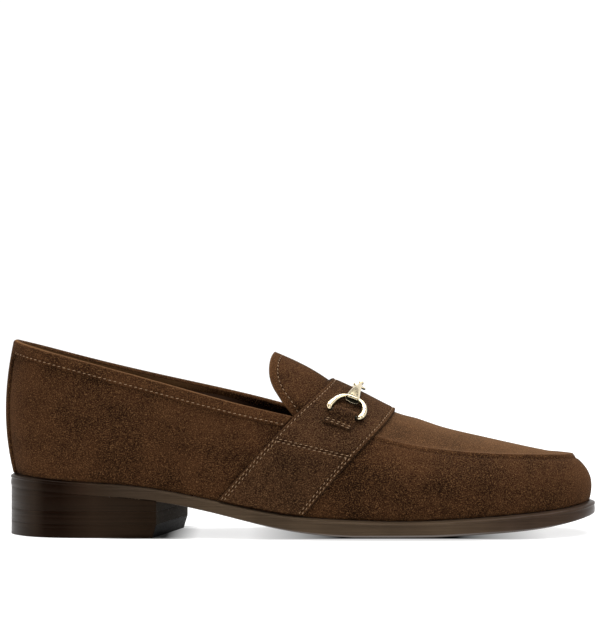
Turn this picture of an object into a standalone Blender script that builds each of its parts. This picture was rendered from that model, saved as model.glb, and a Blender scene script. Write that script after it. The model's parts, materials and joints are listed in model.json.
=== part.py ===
"""Suede bit loafer for the right foot, modelled in the order that a shoemaker puts it together.

Metres, +X to the toe, +Y to the medial side, +Z up.
The origin is on the floor under the middle of the shoe.
"""

import math

import bmesh
import bpy
import numpy as np
from mathutils import Vector

# Driving sizes
LENGTH = 0.294  # back of the upper to the toe edge of the outsole
BALL_WIDTH = 0.104  # outsole across the ball of the foot
INSTEP_HEIGHT = 0.0755  # floor to the upper's ridge at the rear edge of the strap
HEEL_HEIGHT = 0.0296  # floor to the heel seat at the back
WALL = 0.0022  # suede with its lining
GAP = 0.0003  # between pieces that meet

# Sections of the upper, one row each, from the toe tip to the back of the heel.
# foot columns give the feather line, where the upper meets the sole.
# top columns give the apron seam and, behind the strap, the collar.
# x is in percent of LENGTH from the heel, lat and med of BALL_WIDTH, rise of INSTEP_HEIGHT.
# flare and tuck bow the wall outwards, low and high, as shares of its height.
# ledge is how far the outsole stands out beyond the upper, in percent of BALL_WIDTH.
SECTION_COLUMNS = (
    "foot_x", "foot_lat", "foot_med", "top_x", "top_lat", "top_med",
    "rise_lat", "rise_med", "flare", "tuck", "ledge",
)
SECTIONS = {
    "toe_tip": (99.0, -2.9, 2.9, 96.0, -2.9, 2.9, 51.2, 51.2, 0.64, 1.12, 2.6),
    "toe_corner": (97.0, 15.4, 20.2, 94.5, 9.8, 14.6, 51.4, 51.4, 0.63, 1.10, 2.8),
    "toe_side": (92.3, 28.6, 32.9, 90.0, 19.8, 24.4, 52.0, 52.0, 0.58, 1.12, 3.0),
    "forefoot": (84.7, 38.4, 41.0, 83.2, 27.6, 29.8, 53.0, 53.0, 0.55, 1.25, 3.1),
    "ball_front": (76.3, 44.3, 45.8, 77.2, 31.2, 32.3, 54.5, 54.5, 0.55, 1.30, 3.1),
    "ball": (67.0, 46.9, 46.9, 71.4, 33.7, 33.2, 57.1, 57.1, 0.52, 1.30, 3.1),
    "vamp": (58.2, 45.5, 42.5, 66.5, 34.1, 32.7, 60.5, 60.5, 0.50, 1.20, 2.9),
    "strap_front": (50.4, 42.1, 35.5, 62.2, 34.1, 32.2, 65.0, 65.0, 0.45, 1.10, 2.4),
    "strap_mid": (43.2, 38.0, 29.3, 56.1, 33.2, 30.8, 71.5, 72.5, 0.40, 0.95, 1.9),
    "strap_rear": (36.3, 34.1, 25.8, 49.0, 31.7, 29.3, 78.0, 81.9, 0.34, 0.70, 1.6),
    "waist": (27.6, 31.5, 25.5, 39.1, 30.3, 28.8, 87.0, 92.0, 0.28, 0.35, 1.4),
    "quarter": (18.7, 31.0, 29.0, 27.6, 28.7, 28.4, 99.3, 101.9, 0.26, 0.25, 1.3),
    "heel_front": (10.9, 29.6, 29.6, 15.6, 26.3, 26.8, 112.0, 112.8, 0.24, 0.22, 1.3),
    "heel_side": (5.4, 22.3, 22.8, 6.3, 20.0, 20.8, 121.8, 122.4, 0.24, 0.22, 1.7),
    "heel_corner": (2.4, 8.4, 9.2, 2.5, 8.2, 9.1, 126.4, 126.5, 0.26, 0.22, 2.4),
    "heel_tip": (1.95, -0.5, 0.5, 2.05, -0.5, 0.5, 127.3, 127.3, 0.26, 0.22, 2.5),
}
ROW = {name: row for row, name in enumerate(SECTIONS)}
HEEL_TIP = ROW["heel_tip"]
TURN = 2 * HEEL_TIP  # rows once round the shoe: down the lateral side, back up the medial side

# Ridge of the apron along the middle of the shoe: percent of LENGTH, percent of INSTEP_HEIGHT
RIDGE = {
    "toe_corner": (96.0, 51.2),
    "toe_side": (91.3, 54.3),
    "forefoot": (85.0, 59.6),
    "ball_front": (79.3, 64.6),
    "ball": (73.8, 69.9),
    "vamp": (69.6, 75.4),
    "strap_front": (65.9, 79.6),
    "strap_mid": (60.5, 90.0),
    "strap_rear": (55.1, 99.8),
}
CROWN_POWER = 2.0  # roundness of the apron across the shoe
SEAM_RISE = 0.0008  # raised apron seam
SEAM_POWER = 14  # how narrow that ridge is
SEAM_END = 0.3  # rows behind the strap's front edge where the ridge has died away
SEAM_FADE = 0.5
THROAT = ROW["strap_mid"] + 2 / 3  # the apron ends here, under the strap

# Outsole along the middle of the shoe: percent of LENGTH from the heel, then in percent of HEEL_HEIGHT
# its upper face, its lower face and how far its lower edges lift above the middle
SOLE_PROFILE = (
    (0.0, 102.6, 80.1, 0.0),
    (12.6, 92.2, 72.0, 0.0),
    (24.1, 82.8, 62.2, 0.0),
    (29.6, 74.0, 51.4, 3.4),
    (36.4, 60.5, 36.5, 4.1),
    (43.2, 47.3, 19.9, 5.1),
    (50.7, 37.2, 6.1, 6.8),
    (57.5, 33.4, 0.5, 7.8),
    (65.0, 31.4, -1.0, 8.4),
    (72.8, 32.8, 0.3, 8.8),
    (81.0, 37.2, 4.1, 8.4),
    (86.1, 40.5, 7.5, 7.4),
    (93.0, 46.3, 16.5, 5.1),
    (100.0, 57.1, 34.0, 0.0),
)
FLAT_SHARE = 0.45  # middle part of the outsole's width that has no lift
# Edge of the outsole from the feather line down: outward as a share of the ledge, drop as a share of the edge
SOLE_EDGE = (
    (0.0, 0.00),
    (0.75, 0.09),
    (1.0, 0.20),
    (1.0, 0.27),
    (0.90, 0.33),
    (0.97, 0.60),
    (0.90, 0.90),
    (0.55, 1.00),
)
BREAST_LATERAL = 26.2  # front of the heel, percent of LENGTH
BREAST_MEDIAL = 30.5
LIFT_LINE = 0.0129  # floor to the joint between the two lifts
TOP_PIECE_HEIGHT = 0.0065
BREAST_BEVEL = 0.0020  # the top piece leans back by this at its front edge
HEEL_OUT = 0.88  # the lifts stand in a little from the outsole's edge, share of the ledge
INSOLE_HEEL = 0.0120  # footbed at the heel, a hidden raise
INSOLE_BALL = 0.0030
INSOLE_RAISE = (62.0, 8.0)  # the raise climbs between these places, percent of LENGTH
INSOLE_CLEAR = 3 * GAP  # inside the upper's lining

# Overlays on the upper
BAND_WIDTH = 0.0068
BAND_THICK = 0.0010
PANEL_THICK = 0.0014
STRAP_THICK = 0.0015
TONGUE_THICK = 0.0026
LASTED = 0.02  # the side panels start this share up the wall
TAIL_START = 0.006  # and so does the collar band's tail
BAND_CLEAR = 0.02  # rows between the strap and the collar band's ends
SEAM_CLEAR = 0.004  # half of the gap between a side panel and the bridge strap, share of the wall
TONGUE_START = 0.025  # rows behind the apron's end
TONGUE_TUCK = 0.0032  # its sides drop inside the collar by this
TONGUE_TUCK_FROM = 0.80  # share of its half width where the drop starts
TONGUE_TUCK_OVER = 0.14
TONGUE_AT_STRAP = 0.22  # share of its length where it leaves the strap
TONGUE_SWELL_AT = 0.32  # just behind the strap it swells by TONGUE_SWELL
TONGUE_SWELL = 0.0005
TONGUE_LENGTHS = (0.0, 0.11, 0.22, 0.32, 0.45, 0.62, 0.80, 0.93, 1.0)
# Rear edge of the tongue from its ridge out to its lower corner:
# share, percent of LENGTH, of BALL_WIDTH, of INSTEP_HEIGHT
TONGUE_EDGE = (
    (0.00, 45.6, 0.0, 119.3),
    (0.30, 45.0, 9.6, 115.0),
    (0.55, 44.8, 16.8, 106.7),
    (0.75, 45.4, 21.6, 97.6),
    (0.90, 46.9, 25.0, 88.0),
    (1.00, 48.6, 26.9, 78.7),
)

# Bit, laid out on the strap: forward is towards the toe, up is towards the ridge
BIT_ROW = ROW["strap_mid"] + 0.02
RING_CENTRE = 0.151  # share of the strap's way across the apron
BIT_SHIFT = -0.0006  # forward place of the ring's middle line beside the bar
BIT_SHEAR = 0.12  # the bit leans back towards the heel as it climbs the strap
FOOT_TILT = 0.09  # its lower part turns down towards the toe, from FOOT_TILT_FROM downwards
FOOT_TILT_FROM = -0.0020
FOOT_TILT_OVER = 0.0040
BIT_MIDDLE = -0.0031  # forward place of the joint over the ridge
# Half of a ring in millimetres: forward from its middle line, up from its centre, radius of the bar
RING_HALF = (
    (0.0, 6.4, 1.0),
    (3.0, 6.1, 1.0),
    (5.1, 4.7, 1.15),
    (6.8, 2.1, 1.35),
    (7.8, -1.3, 1.55),
    (8.2, -4.3, 1.65),
    (7.8, -6.0, 1.5),
    (6.6, -6.5, 1.0),
    (5.2, -6.3, 0.9),
    (2.6, -6.3, 0.9),
    (0.0, -6.3, 0.9),
)
RING_POINTS = 32
RING_FOOT = 0.0063  # the bar under the loop lies this far below the ring's centre
RING_LIFT = 0.0007  # the arch stands off the strap by this much more
SHANK_LOW = 0.0036  # mouth of the shank, up from the ring's centre
SHANK_LOW_HEIGHT = 0.0026
SHANK_END = 0.0042  # sideways from the ridge
SHANK_BOW = 0.0010
SHANK_WIDE = 0.0039  # half widths and half heights at the mouth and at the neck
SHANK_NARROW = 0.0010
SHANK_TALL = 0.0017
SHANK_FLAT = 0.0009
SHANK_TAPER = 0.8
SHANK_POINTS = 6
EYE_RADIUS = 0.0027
EYE_WIRE = 0.00065
EYE_HEIGHT = 0.0017
EYE_POINTS = 18
EYE_NECK = (0.0024, 0.0036, 0.0050)  # sideways from the ridge
EYE_NECK_RADIUS = 0.0007
BALL_RADIUS = 0.0012
BALL_HEIGHT = 0.0036
BALL_NECK_RADIUS = 0.0006
# Neck of the ball in millimetres: sideways from the ridge, height over the strap
BALL_NECK = ((-5.0, 2.6), (-3.8, 3.1), (-2.4, 3.4), (-1.2, 3.5), (-0.3, 3.5))
# Bit loop in millimetres, from its sewn end over the bar: up from the bar, height over the strap
LOOP_PATH = (
    (-8.1, 0.3),
    (-6.6, 0.3),
    (-5.2, 0.35),
    (-4.2, 0.75),
    (-3.2, 1.4),
    (-2.2, 2.05),
    (-1.2, 2.5),
    (0.0, 2.6),
    (0.8, 2.4),
    (1.4, 1.85),
    (1.6, 1.1),
    (1.6, 0.35),
)
LOOP_NECK = 0.0056  # half width between the ring's arms and below them
LOOP_BASE = 0.0071
LOOP_SPREAD = (-0.0015, -0.0035)  # the tab widens between these places, up from the bar
LOOP_CELLS = 6
LOOP_THICK = 0.0011

# How finely the pieces are divided
ACROSS_CELLS = 10
SIDE_CELLS = 2
STRAP_CELLS = 6
LIFT_CELLS = 10
TONGUE_CELLS = 16
ROWS_BELOW_BAND = 6
SEAM_ROW = ROWS_BELOW_BAND - 1  # the saddle's cross seam follows this row of the wall
WELD = 0.00002
MM = 0.001


# Curves through the tables

def spline(knots, values):
    """Natural cubic curve through the values, with straight ends."""
    knots = np.asarray(knots, float)
    values = np.asarray(values, float)
    step = np.diff(knots)
    count = len(knots)
    matrix = np.eye(count)
    target = np.zeros_like(values)
    for k in range(1, count - 1):
        matrix[k, k - 1:k + 2] = step[k - 1], 2 * (step[k - 1] + step[k]), step[k]
        target[k] = 6 * ((values[k + 1] - values[k]) / step[k] - (values[k] - values[k - 1]) / step[k - 1])
    bend = np.linalg.solve(matrix, target)

    def at(place):
        k = int(np.clip(np.searchsorted(knots, place) - 1, 0, count - 2))
        left = knots[k + 1] - place
        right = place - knots[k]
        curve = (bend[k] * left ** 3 + bend[k + 1] * right ** 3) / (6 * step[k])
        line = values[k] * left / step[k] + values[k + 1] * right / step[k]
        return curve + line - step[k] / 6 * (bend[k] * left + bend[k + 1] * right)

    return at


def along(percent):
    return (np.asarray(percent) / 100 - 0.5) * LENGTH


def smooth(share):
    share = min(max(share, 0.0), 1.0)
    return share * share * (3 - 2 * share)


def section_loop():
    """All section columns as one curve round the shoe, by row number."""
    table = np.array(list(SECTIONS.values()))
    column = {name: table[:, k] for k, name in enumerate(SECTION_COLUMNS)}
    sides = []
    for sign, side in ((-1, "lat"), (1, "med")):
        sides.append(np.column_stack((
            along(column["foot_x"]),
            sign * BALL_WIDTH / 100 * column["foot_" + side],
            along(column["top_x"]),
            sign * BALL_WIDTH / 100 * column["top_" + side],
            INSTEP_HEIGHT / 100 * column["rise_" + side],
            column["flare"],
            column["tuck"],
            BALL_WIDTH / 100 * column["ledge"],
        )))
    lateral, medial = sides
    loop = np.vstack((lateral, medial[HEEL_TIP - 1:0:-1]))
    lead = 5
    padded = np.vstack((loop[-lead:], loop, loop[:lead + 1]))
    return spline(np.arange(-lead, TURN + lead + 1), padded)


LOOP = section_loop()
RIDGE_CURVE = spline(
    [ROW[name] for name in RIDGE],
    [(along(x), INSTEP_HEIGHT * z / 100) for x, z in RIDGE.values()],
)
PROFILE = spline(
    [along(row[0]) for row in SOLE_PROFILE],
    [[HEEL_HEIGHT * value / 100 for value in row[1:]] for row in SOLE_PROFILE],
)
UP = np.array((0.0, 0.0, 1.0))


# The last: where the upper and the sole lie

def sole_top(x):
    return PROFILE(x)[0]


def foot(row):
    x, y = LOOP(row % TURN)[:2]
    return np.array((x, y, sole_top(x) + GAP))


def top(row):
    return LOOP(row % TURN)[2:5]


def outward(row):
    ahead = foot(row + 0.01) - foot(row - 0.01)
    normal = np.array((-ahead[1], ahead[0], 0.0))
    return normal / np.linalg.norm(normal)


def seam_lift(row):
    """The apron seam stands up from the toe to just under the strap's front edge."""
    from_toe = min(row % TURN, TURN - row % TURN)
    fade = smooth((ROW["strap_front"] + SEAM_END - from_toe) / SEAM_FADE)
    return SEAM_RISE * fade * (0.6 * outward(row) + 0.8 * UP)


def wall(row, share):
    """Outer face of the upper's wall, share 0 at the feather line and 1 at the apron seam or collar."""
    low = foot(row)
    high = top(row)
    flare, tuck = LOOP(row % TURN)[5:7]
    bow = flare * share * (1 - share) ** 2 + tuck * share ** 2 * (1 - share)
    point = low + (high - low) * share + outward(row) * (high[2] - low[2]) * bow
    return point + seam_lift(row) * share ** SEAM_POWER


def apron(row, across):
    """Outer face of the apron: row from the toe, across 0 at the lateral seam and 1 at the medial seam."""
    lateral = top(row)
    medial = top(-row)
    front = ROW["toe_corner"]
    rear = ROW["strap_rear"]
    fade = max(0.0, (rear - row) / (rear - front)) ** 4
    toe_chord = top(front) + (top(-front) - top(front)) * across
    toe_bow = top(front * (1 - 2 * across)) - toe_chord
    middle = (lateral + medial) / 2 + fade * (top(0) - (top(front) + top(-front)) / 2)
    ridge_x, ridge_z = RIDGE_CURVE(row)
    rise = np.array((ridge_x - middle[0], 0.0, ridge_z - middle[2]))
    edge = abs(2 * across - 1)
    point = lateral + (medial - lateral) * across + fade * toe_bow + rise * (1 - edge ** CROWN_POWER)
    toe_share = math.exp(-6 * (row - front))
    sides = (1 - across) * seam_lift(row) + across * seam_lift(-row)
    seam = (1 - toe_share) * sides + toe_share * seam_lift(front * (1 - 2 * across))
    return point + seam * (1 - (1 - edge ** SEAM_POWER) * (1 - toe_share))


def face_normal(surface, first, second, step=0.02):
    """Outward unit normal of a surface of two numbers; up or away from the middle."""
    one = surface(first + step, second) - surface(first - step, second)
    two = surface(first, second + step) - surface(first, second - step)
    normal = np.cross(one, two)
    return normal / np.linalg.norm(normal)


def wall_normal(row, share):
    normal = face_normal(wall, row, min(max(share, 0.02), 0.96))
    return normal if normal @ outward(row) > 0 else -normal


def apron_normal(row, across):
    normal = face_normal(apron, row, across)
    return normal if normal[2] > 0 else -normal


def wall_shares(row):
    """Places up the wall; the last two cells are the collar band's width."""
    slant = np.linalg.norm(top(row) - foot(row))
    band = 1 - BAND_WIDTH / slant
    return [band * k / ROWS_BELOW_BAND for k in range(ROWS_BELOW_BAND + 1)] + [(1 + band) / 2, 1.0]


# Rows round the shoe, with the toe and heel arcs divided to suit the pieces that run across

def steps(start, end, cells):
    return list(np.linspace(start, end, cells + 1))


def side_rows(start, end, cells_each):
    return steps(start, end, round((end - start) * cells_each))


FRONT = ROW["toe_corner"]
BACK = ROW["heel_corner"]
STRAP_FRONT = ROW["strap_front"]
STRAP_REAR = ROW["strap_rear"]
FOREPART_ROWS = side_rows(FRONT, STRAP_FRONT, SIDE_CELLS)
STRAP_ROWS = steps(STRAP_FRONT, STRAP_REAR, STRAP_CELLS)
QUARTER_ROWS = side_rows(STRAP_REAR, BACK, SIDE_CELLS)
LATERAL_ROWS = FOREPART_ROWS + STRAP_ROWS[1:] + QUARTER_ROWS[1:]
MEDIAL_ROWS = [TURN - row for row in reversed(LATERAL_ROWS)]
HEEL_ARC = steps(BACK, TURN - BACK, ACROSS_CELLS)
TOE_ARC = steps(TURN - FRONT, TURN + FRONT, ACROSS_CELLS)
ROUND_ROWS = LATERAL_ROWS + HEEL_ARC[1:] + MEDIAL_ROWS[1:] + TOE_ARC[1:]


# Meshes and objects

def collection(name):
    made = bpy.data.collections.new(name)
    bpy.context.scene.collection.children.link(made)
    return made


def material(name, colour, roughness, metallic=0.0):
    made = bpy.data.materials.new(name)
    made.use_nodes = True
    shader = made.node_tree.nodes["Principled BSDF"]
    shader.inputs["Base Color"].default_value = (*colour, 1.0)
    shader.inputs["Roughness"].default_value = roughness
    shader.inputs["Metallic"].default_value = metallic
    made.diffuse_color = (*colour, 1.0)
    return made


def add_grid(mesh, rows):
    """Add one sheet of four-sided faces through rows of points."""
    made = [[mesh.verts.new(point) for point in row] for row in rows]
    for first, second in zip(made, made[1:]):
        for k in range(len(first) - 1):
            mesh.faces.new((first[k], first[k + 1], second[k + 1], second[k]))


def add_cap(mesh, points):
    mesh.faces.new([mesh.verts.new(point) for point in points])


def weld(mesh):
    """Join the sheets of a piece along their shared edges and turn the faces to one side."""
    bmesh.ops.remove_doubles(mesh, verts=mesh.verts, dist=WELD)
    bmesh.ops.recalc_face_normals(mesh, faces=mesh.faces)


def put_in_scene(name, mesh, look, home, shade_smooth=True):
    for face in mesh.faces:
        face.smooth = shade_smooth
    data = bpy.data.meshes.new(name)
    mesh.to_mesh(data)
    mesh.free()
    data.materials.append(look)
    made = bpy.data.objects.new(name, data)
    home.objects.link(made)
    return made


def finish(name, mesh, look, home, shade_smooth=True):
    """A closed piece, its faces outwards."""
    weld(mesh)
    return put_in_scene(name, mesh, look, home, shade_smooth)


def thicken(made, thickness, side):
    """Give a sheet its thickness: side -1 inwards, 1 outwards."""
    shell = made.modifiers.new("thickness", "SOLIDIFY")
    shell.thickness = thickness
    shell.offset = side
    shell.use_even_offset = True
    shell.use_quality_normals = True


def stand_off(made, distance):
    lift = made.modifiers.new("stand_off", "DISPLACE")
    lift.direction = "NORMAL"
    lift.mid_level = 0.0
    lift.strength = distance


def probe_at(surface, normal, first, second):
    """A point of a surface and its known outward direction."""
    return Vector(surface(first, second)), Vector(normal(first, second))


def sheet(name, grids, probe, look, home):
    """An open sheet from several grids that share edges, facing outwards at the probe."""
    mesh = bmesh.new()
    for rows in grids:
        add_grid(mesh, rows)
    weld(mesh)
    nearest = min(mesh.faces, key=lambda face: (face.calc_center_median() - probe[0]).length)
    if nearest.normal.dot(probe[1]) < 0:
        bmesh.ops.reverse_faces(mesh, faces=mesh.faces)
    return put_in_scene(name, mesh, look, home)


# Sole

def ledge_point(row, outward_share):
    """Plan place on the sole's edge, measured out from the feather line."""
    return foot(row)[:2] + outward(row)[:2] * LOOP(row % TURN)[7] * outward_share


def outline_at(x):
    """Lateral and medial edge of the outsole's lower face at one place along the shoe."""
    return np.interp(x, OUTLINE_X, OUTLINE_LATERAL), np.interp(x, OUTLINE_X, OUTLINE_MEDIAL)


def sole_bottom(x, y):
    lateral, medial = outline_at(x)
    share = abs(2 * (y - lateral) / max(medial - lateral, MM) - 1)
    middle, lift = PROFILE(x)[1:]
    rounded = max(0.0, (share - FLAT_SHARE) / (1 - FLAT_SHARE)) ** 2
    return max(middle, 0.0) + lift * min(rounded, 1.0)


def outline_table():
    """Both edges of the outsole's lower face, by place along the shoe."""
    rows = np.linspace(HEEL_TIP - 0.05, 0.05, 120)
    lateral = np.array([ledge_point(row, SOLE_EDGE[-1][0]) for row in rows])
    medial = np.array([ledge_point(-row, SOLE_EDGE[-1][0]) for row in rows])
    x = np.linspace(-LENGTH / 2, LENGTH / 2, 200)
    return x, np.interp(x, lateral[:, 0], lateral[:, 1]), np.interp(x, medial[:, 0], medial[:, 1])


OUTLINE_X, OUTLINE_LATERAL, OUTLINE_MEDIAL = outline_table()


def edge_point(row, outward_share, drop):
    x, y = ledge_point(row, outward_share)
    high = sole_top(foot(row)[0])
    low_x, low_y = ledge_point(row, SOLE_EDGE[-1][0])
    low = sole_bottom(low_x, low_y)
    return np.array((x, y, high + (low - high) * drop))


def across_rows(edge, height):
    """Points across the shoe between the two edges, row by row from the toe arc to the heel arc."""
    rows = []
    for row in LATERAL_ROWS:
        share = (row - FRONT) / (BACK - FRONT)
        points = []
        for k in range(ACROSS_CELLS + 1):
            across = k / ACROSS_CELLS
            point = edge(row) + (edge(-row) - edge(row)) * across
            toe = edge(FRONT * (1 - 2 * across)) - edge(FRONT) - (edge(-FRONT) - edge(FRONT)) * across
            heel_row = BACK + 2 * (HEEL_TIP - BACK) * across
            heel = edge(heel_row) - edge(BACK) - (edge(-BACK) - edge(BACK)) * across
            point = point + toe * (1 - share) ** 4 + heel * share ** 4
            on_edge = k in (0, ACROSS_CELLS) or row in (FRONT, BACK)
            points.append(point if on_edge else np.array((point[0], point[1], height(point[0], point[1]))))
        rows.append(points)
    return rows


def build_outsole(look, home):
    mesh = bmesh.new()
    add_grid(mesh, [[edge_point(row, out, drop) for row in ROUND_ROWS] for out, drop in SOLE_EDGE])
    add_grid(mesh, across_rows(lambda row: edge_point(row, *SOLE_EDGE[0]), lambda x, y: sole_top(x)))
    add_grid(mesh, across_rows(lambda row: edge_point(row, *SOLE_EDGE[-1]), sole_bottom))
    return finish("outsole", mesh, look, home)


def row_at(x, start, end):
    """Row between start and end whose feather point lies at x."""
    rows = np.linspace(start, end, 400)
    places = [foot(row)[0] for row in rows]
    return float(rows[int(np.argmin([abs(place - x) for place in places]))])


BREAST_ROWS = (
    row_at(along(BREAST_LATERAL), ROW["waist"] - 1, ROW["quarter"]),
    row_at(along(BREAST_MEDIAL), TURN - ROW["quarter"], TURN - ROW["waist"] + 1),
)


def lift_rows(height, lean):
    """Points across the heel from the breast to the heel arc; the breast leans back by lean."""
    rows = []
    for k in range(LIFT_CELLS + 1):
        share = k / LIFT_CELLS
        lateral_row = BREAST_ROWS[0] + (BACK - BREAST_ROWS[0]) * share
        medial_row = BREAST_ROWS[1] + (TURN - BACK - BREAST_ROWS[1]) * share
        lateral = ledge_point(lateral_row, HEEL_OUT)
        medial = ledge_point(medial_row, HEEL_OUT)
        points = []
        for j in range(ACROSS_CELLS + 1):
            across = j / ACROSS_CELLS
            heel_row = BACK + 2 * (HEEL_TIP - BACK) * across
            chord = ledge_point(BACK, HEEL_OUT) * (1 - across) + ledge_point(-BACK, HEEL_OUT) * across
            bow = ledge_point(heel_row, HEEL_OUT) - chord
            x, y = lateral * (1 - across) + medial * across + bow * share ** 4
            x -= lean * (1 - share) ** 8
            points.append(np.array((x, y, height(x, y))))
        rows.append(points)
    return rows


def build_lift(name, high, low, lean, look, home):
    """One layer of the heel between two heights."""
    mesh = bmesh.new()
    upper_face = lift_rows(high, 0.0)
    lower_face = lift_rows(low, lean)
    add_grid(mesh, upper_face)
    add_grid(mesh, lower_face)
    for pick in (lambda rows: rows[0], lambda rows: rows[-1]):
        add_grid(mesh, [pick(upper_face), pick(lower_face)])
    for j in (0, -1):
        add_grid(mesh, [[row[j] for row in upper_face], [row[j] for row in lower_face]])
    return finish(name, mesh, look, home, shade_smooth=False)


def level(height):
    return lambda x, y: height


def under_seat(x, y):
    return sole_bottom(x, y) - GAP


def build_heel(leather, rubber, home):
    build_lift("heel_lift_upper", under_seat, level(LIFT_LINE), 0.0, leather, home)
    build_lift("heel_lift_lower", level(LIFT_LINE - GAP), level(TOP_PIECE_HEIGHT), 0.0, leather, home)
    build_lift("top_piece", level(TOP_PIECE_HEIGHT - GAP), level(0.0), BREAST_BEVEL, rubber, home)


# Insole

def insole_thickness(x):
    low_end, high_end = along(INSOLE_RAISE)
    share = smooth((low_end - x) / (low_end - high_end))
    return INSOLE_BALL + (INSOLE_HEEL - INSOLE_BALL) * share


def insole_edge(row, raised):
    """Edge of the footbed, just inside the upper's wall."""
    low = foot(row)
    height = insole_thickness(low[0]) if raised else 0.0
    share = height / (top(row)[2] - low[2])
    inset = wall(row, share) - wall_normal(row, share) * (WALL + INSOLE_CLEAR)
    return np.array((inset[0], inset[1], sole_top(inset[0]) + GAP + height))


def build_insole(look, home):
    mesh = bmesh.new()
    upper_face = across_rows(
        lambda row: insole_edge(row, True), lambda x, y: sole_top(x) + GAP + insole_thickness(x))
    lower_face = across_rows(lambda row: insole_edge(row, False), lambda x, y: sole_top(x) + GAP)
    add_grid(mesh, upper_face)
    add_grid(mesh, lower_face)
    add_grid(mesh, [upper_face[0], lower_face[0]])
    add_grid(mesh, [upper_face[-1], lower_face[-1]])
    for j in (0, -1):
        add_grid(mesh, [[row[j] for row in upper_face], [row[j] for row in lower_face]])
    return finish("insole", mesh, look, home)


# Upper

def wall_grid(rows, shares_at=wall_shares, pick=slice(None)):
    return [[wall(row, share) for share in shares_at(row)[pick]] for row in rows]


def across_steps():
    return [k / ACROSS_CELLS for k in range(ACROSS_CELLS + 1)]


def build_upper(look, home):
    apron_rows = [row for row in LATERAL_ROWS if row < THROAT + 0.01]
    grids = [
        wall_grid(ROUND_ROWS),
        [[apron(row, across) for across in across_steps()] for row in apron_rows],
    ]
    made = sheet("upper", grids, probe_at(wall, wall_normal, ROW["ball"], 0.5), look, home)
    thicken(made, WALL, -1)
    return made


# Tongue

TONGUE_TIP = spline([line[0] for line in TONGUE_EDGE], [line[1:] for line in TONGUE_EDGE])


def tongue_tip(across):
    """Free rear edge."""
    middle_y = apron(STRAP_REAR, 0.5)[1]
    x, half, z = TONGUE_TIP(abs(2 * across - 1))
    side = -1 if across < 0.5 else 1
    return np.array((along(x), middle_y + side * BALL_WIDTH * half / 100, INSTEP_HEIGHT * z / 100))


def tucked(row, across):
    """The apron's face carried on, with its sides dropped inside the collar."""
    inside = smooth((abs(2 * across - 1) - TONGUE_TUCK_FROM) / TONGUE_TUCK_OVER)
    return apron(row, across) - apron_normal(row, across) * TONGUE_TUCK * inside


def tongue(length_share, across):
    """Tongue from under the strap to its free rear edge."""
    root = tucked(THROAT + TONGUE_START, across)
    leaving = tucked(STRAP_REAR, across)
    tip = tongue_tip(across)
    behind = (TONGUE_SWELL_AT - TONGUE_AT_STRAP) / (1 - TONGUE_AT_STRAP)
    swell = TONGUE_SWELL * (1 - abs(2 * across - 1) ** 2)
    swollen = leaving + (tip - leaving) * behind + UP * swell
    return spline((0.0, TONGUE_AT_STRAP, TONGUE_SWELL_AT, 1.0), (root, leaving, swollen, tip))(length_share)


def build_tongue(look, home):
    across = steps(0.0, 1.0, TONGUE_CELLS)
    grid = [[tongue(length, place) for place in across] for length in TONGUE_LENGTHS]
    probe = probe_at(apron, apron_normal, STRAP_REAR, 0.5)
    made = sheet("tongue", [grid], probe, look, home)
    thicken(made, TONGUE_THICK, -1)
    return made


# Overlays sewn on the upper

def build_collar_band(look, home):
    """Strip round the collar with its tail down the back seam, one piece."""
    lateral = [STRAP_REAR + BAND_CLEAR] + QUARTER_ROWS[1:]
    medial = [TURN - row for row in reversed(lateral)]
    band = wall_grid(lateral + HEEL_ARC[1:] + medial[1:], pick=slice(-3, None))
    tail = wall_grid(HEEL_ARC, lambda row: [TAIL_START] + wall_shares(row)[1:], slice(0, -2))
    made = sheet("collar_band", [band, tail], probe_at(wall, wall_normal, ROW["quarter"], 0.95), look, home)
    stand_off(made, GAP)
    thicken(made, BAND_THICK, 1)
    return made


def panel_shares(row):
    shares = wall_shares(row)
    return [LASTED] + shares[1:SEAM_ROW] + [shares[SEAM_ROW] - SEAM_CLEAR]


def bridge_shares(row):
    shares = wall_shares(row)
    return [shares[SEAM_ROW] + SEAM_CLEAR] + shares[SEAM_ROW + 1:]


def build_side_panel(name, rows, look, home):
    made = sheet(name, [wall_grid(rows, panel_shares)], probe_at(wall, wall_normal, rows[2], 0.4), look, home)
    stand_off(made, GAP)
    thicken(made, PANEL_THICK, 1)
    return made


def build_bridge_strap(look, home):
    grids = [
        wall_grid(STRAP_ROWS, bridge_shares),
        [[apron(row, across) for across in across_steps()] for row in STRAP_ROWS],
        wall_grid([TURN - row for row in STRAP_ROWS], bridge_shares),
    ]
    made = sheet("bridge_strap", grids, probe_at(apron, apron_normal, BIT_ROW, 0.5), look, home)
    stand_off(made, GAP)
    thicken(made, STRAP_THICK, 1)
    return made


# Bit and the loops that hold it

def ring_centre(side):
    return RING_CENTRE if side < 0 else 1 - RING_CENTRE


def on_strap(forward, up, height, side):
    """Place on the strap's outer face, in metres from the ring's centre; side -1 lateral, 1 medial."""
    step = 0.02
    across = ring_centre(side)
    per_row = np.linalg.norm(apron(BIT_ROW + step, across) - apron(BIT_ROW - step, across)) / (2 * step)
    per_across = np.linalg.norm(apron(BIT_ROW, across + step) - apron(BIT_ROW, across - step)) / (2 * step)
    up = up - FOOT_TILT * forward * smooth((FOOT_TILT_FROM - up) / FOOT_TILT_OVER)
    row = BIT_ROW - (forward + BIT_SHIFT - BIT_SHEAR * (up + RING_FOOT)) / per_row
    place = across - side * up / per_across
    normal = apron_normal(row, place)
    return apron(row, place) + normal * (GAP + STRAP_THICK + height), normal


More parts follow.
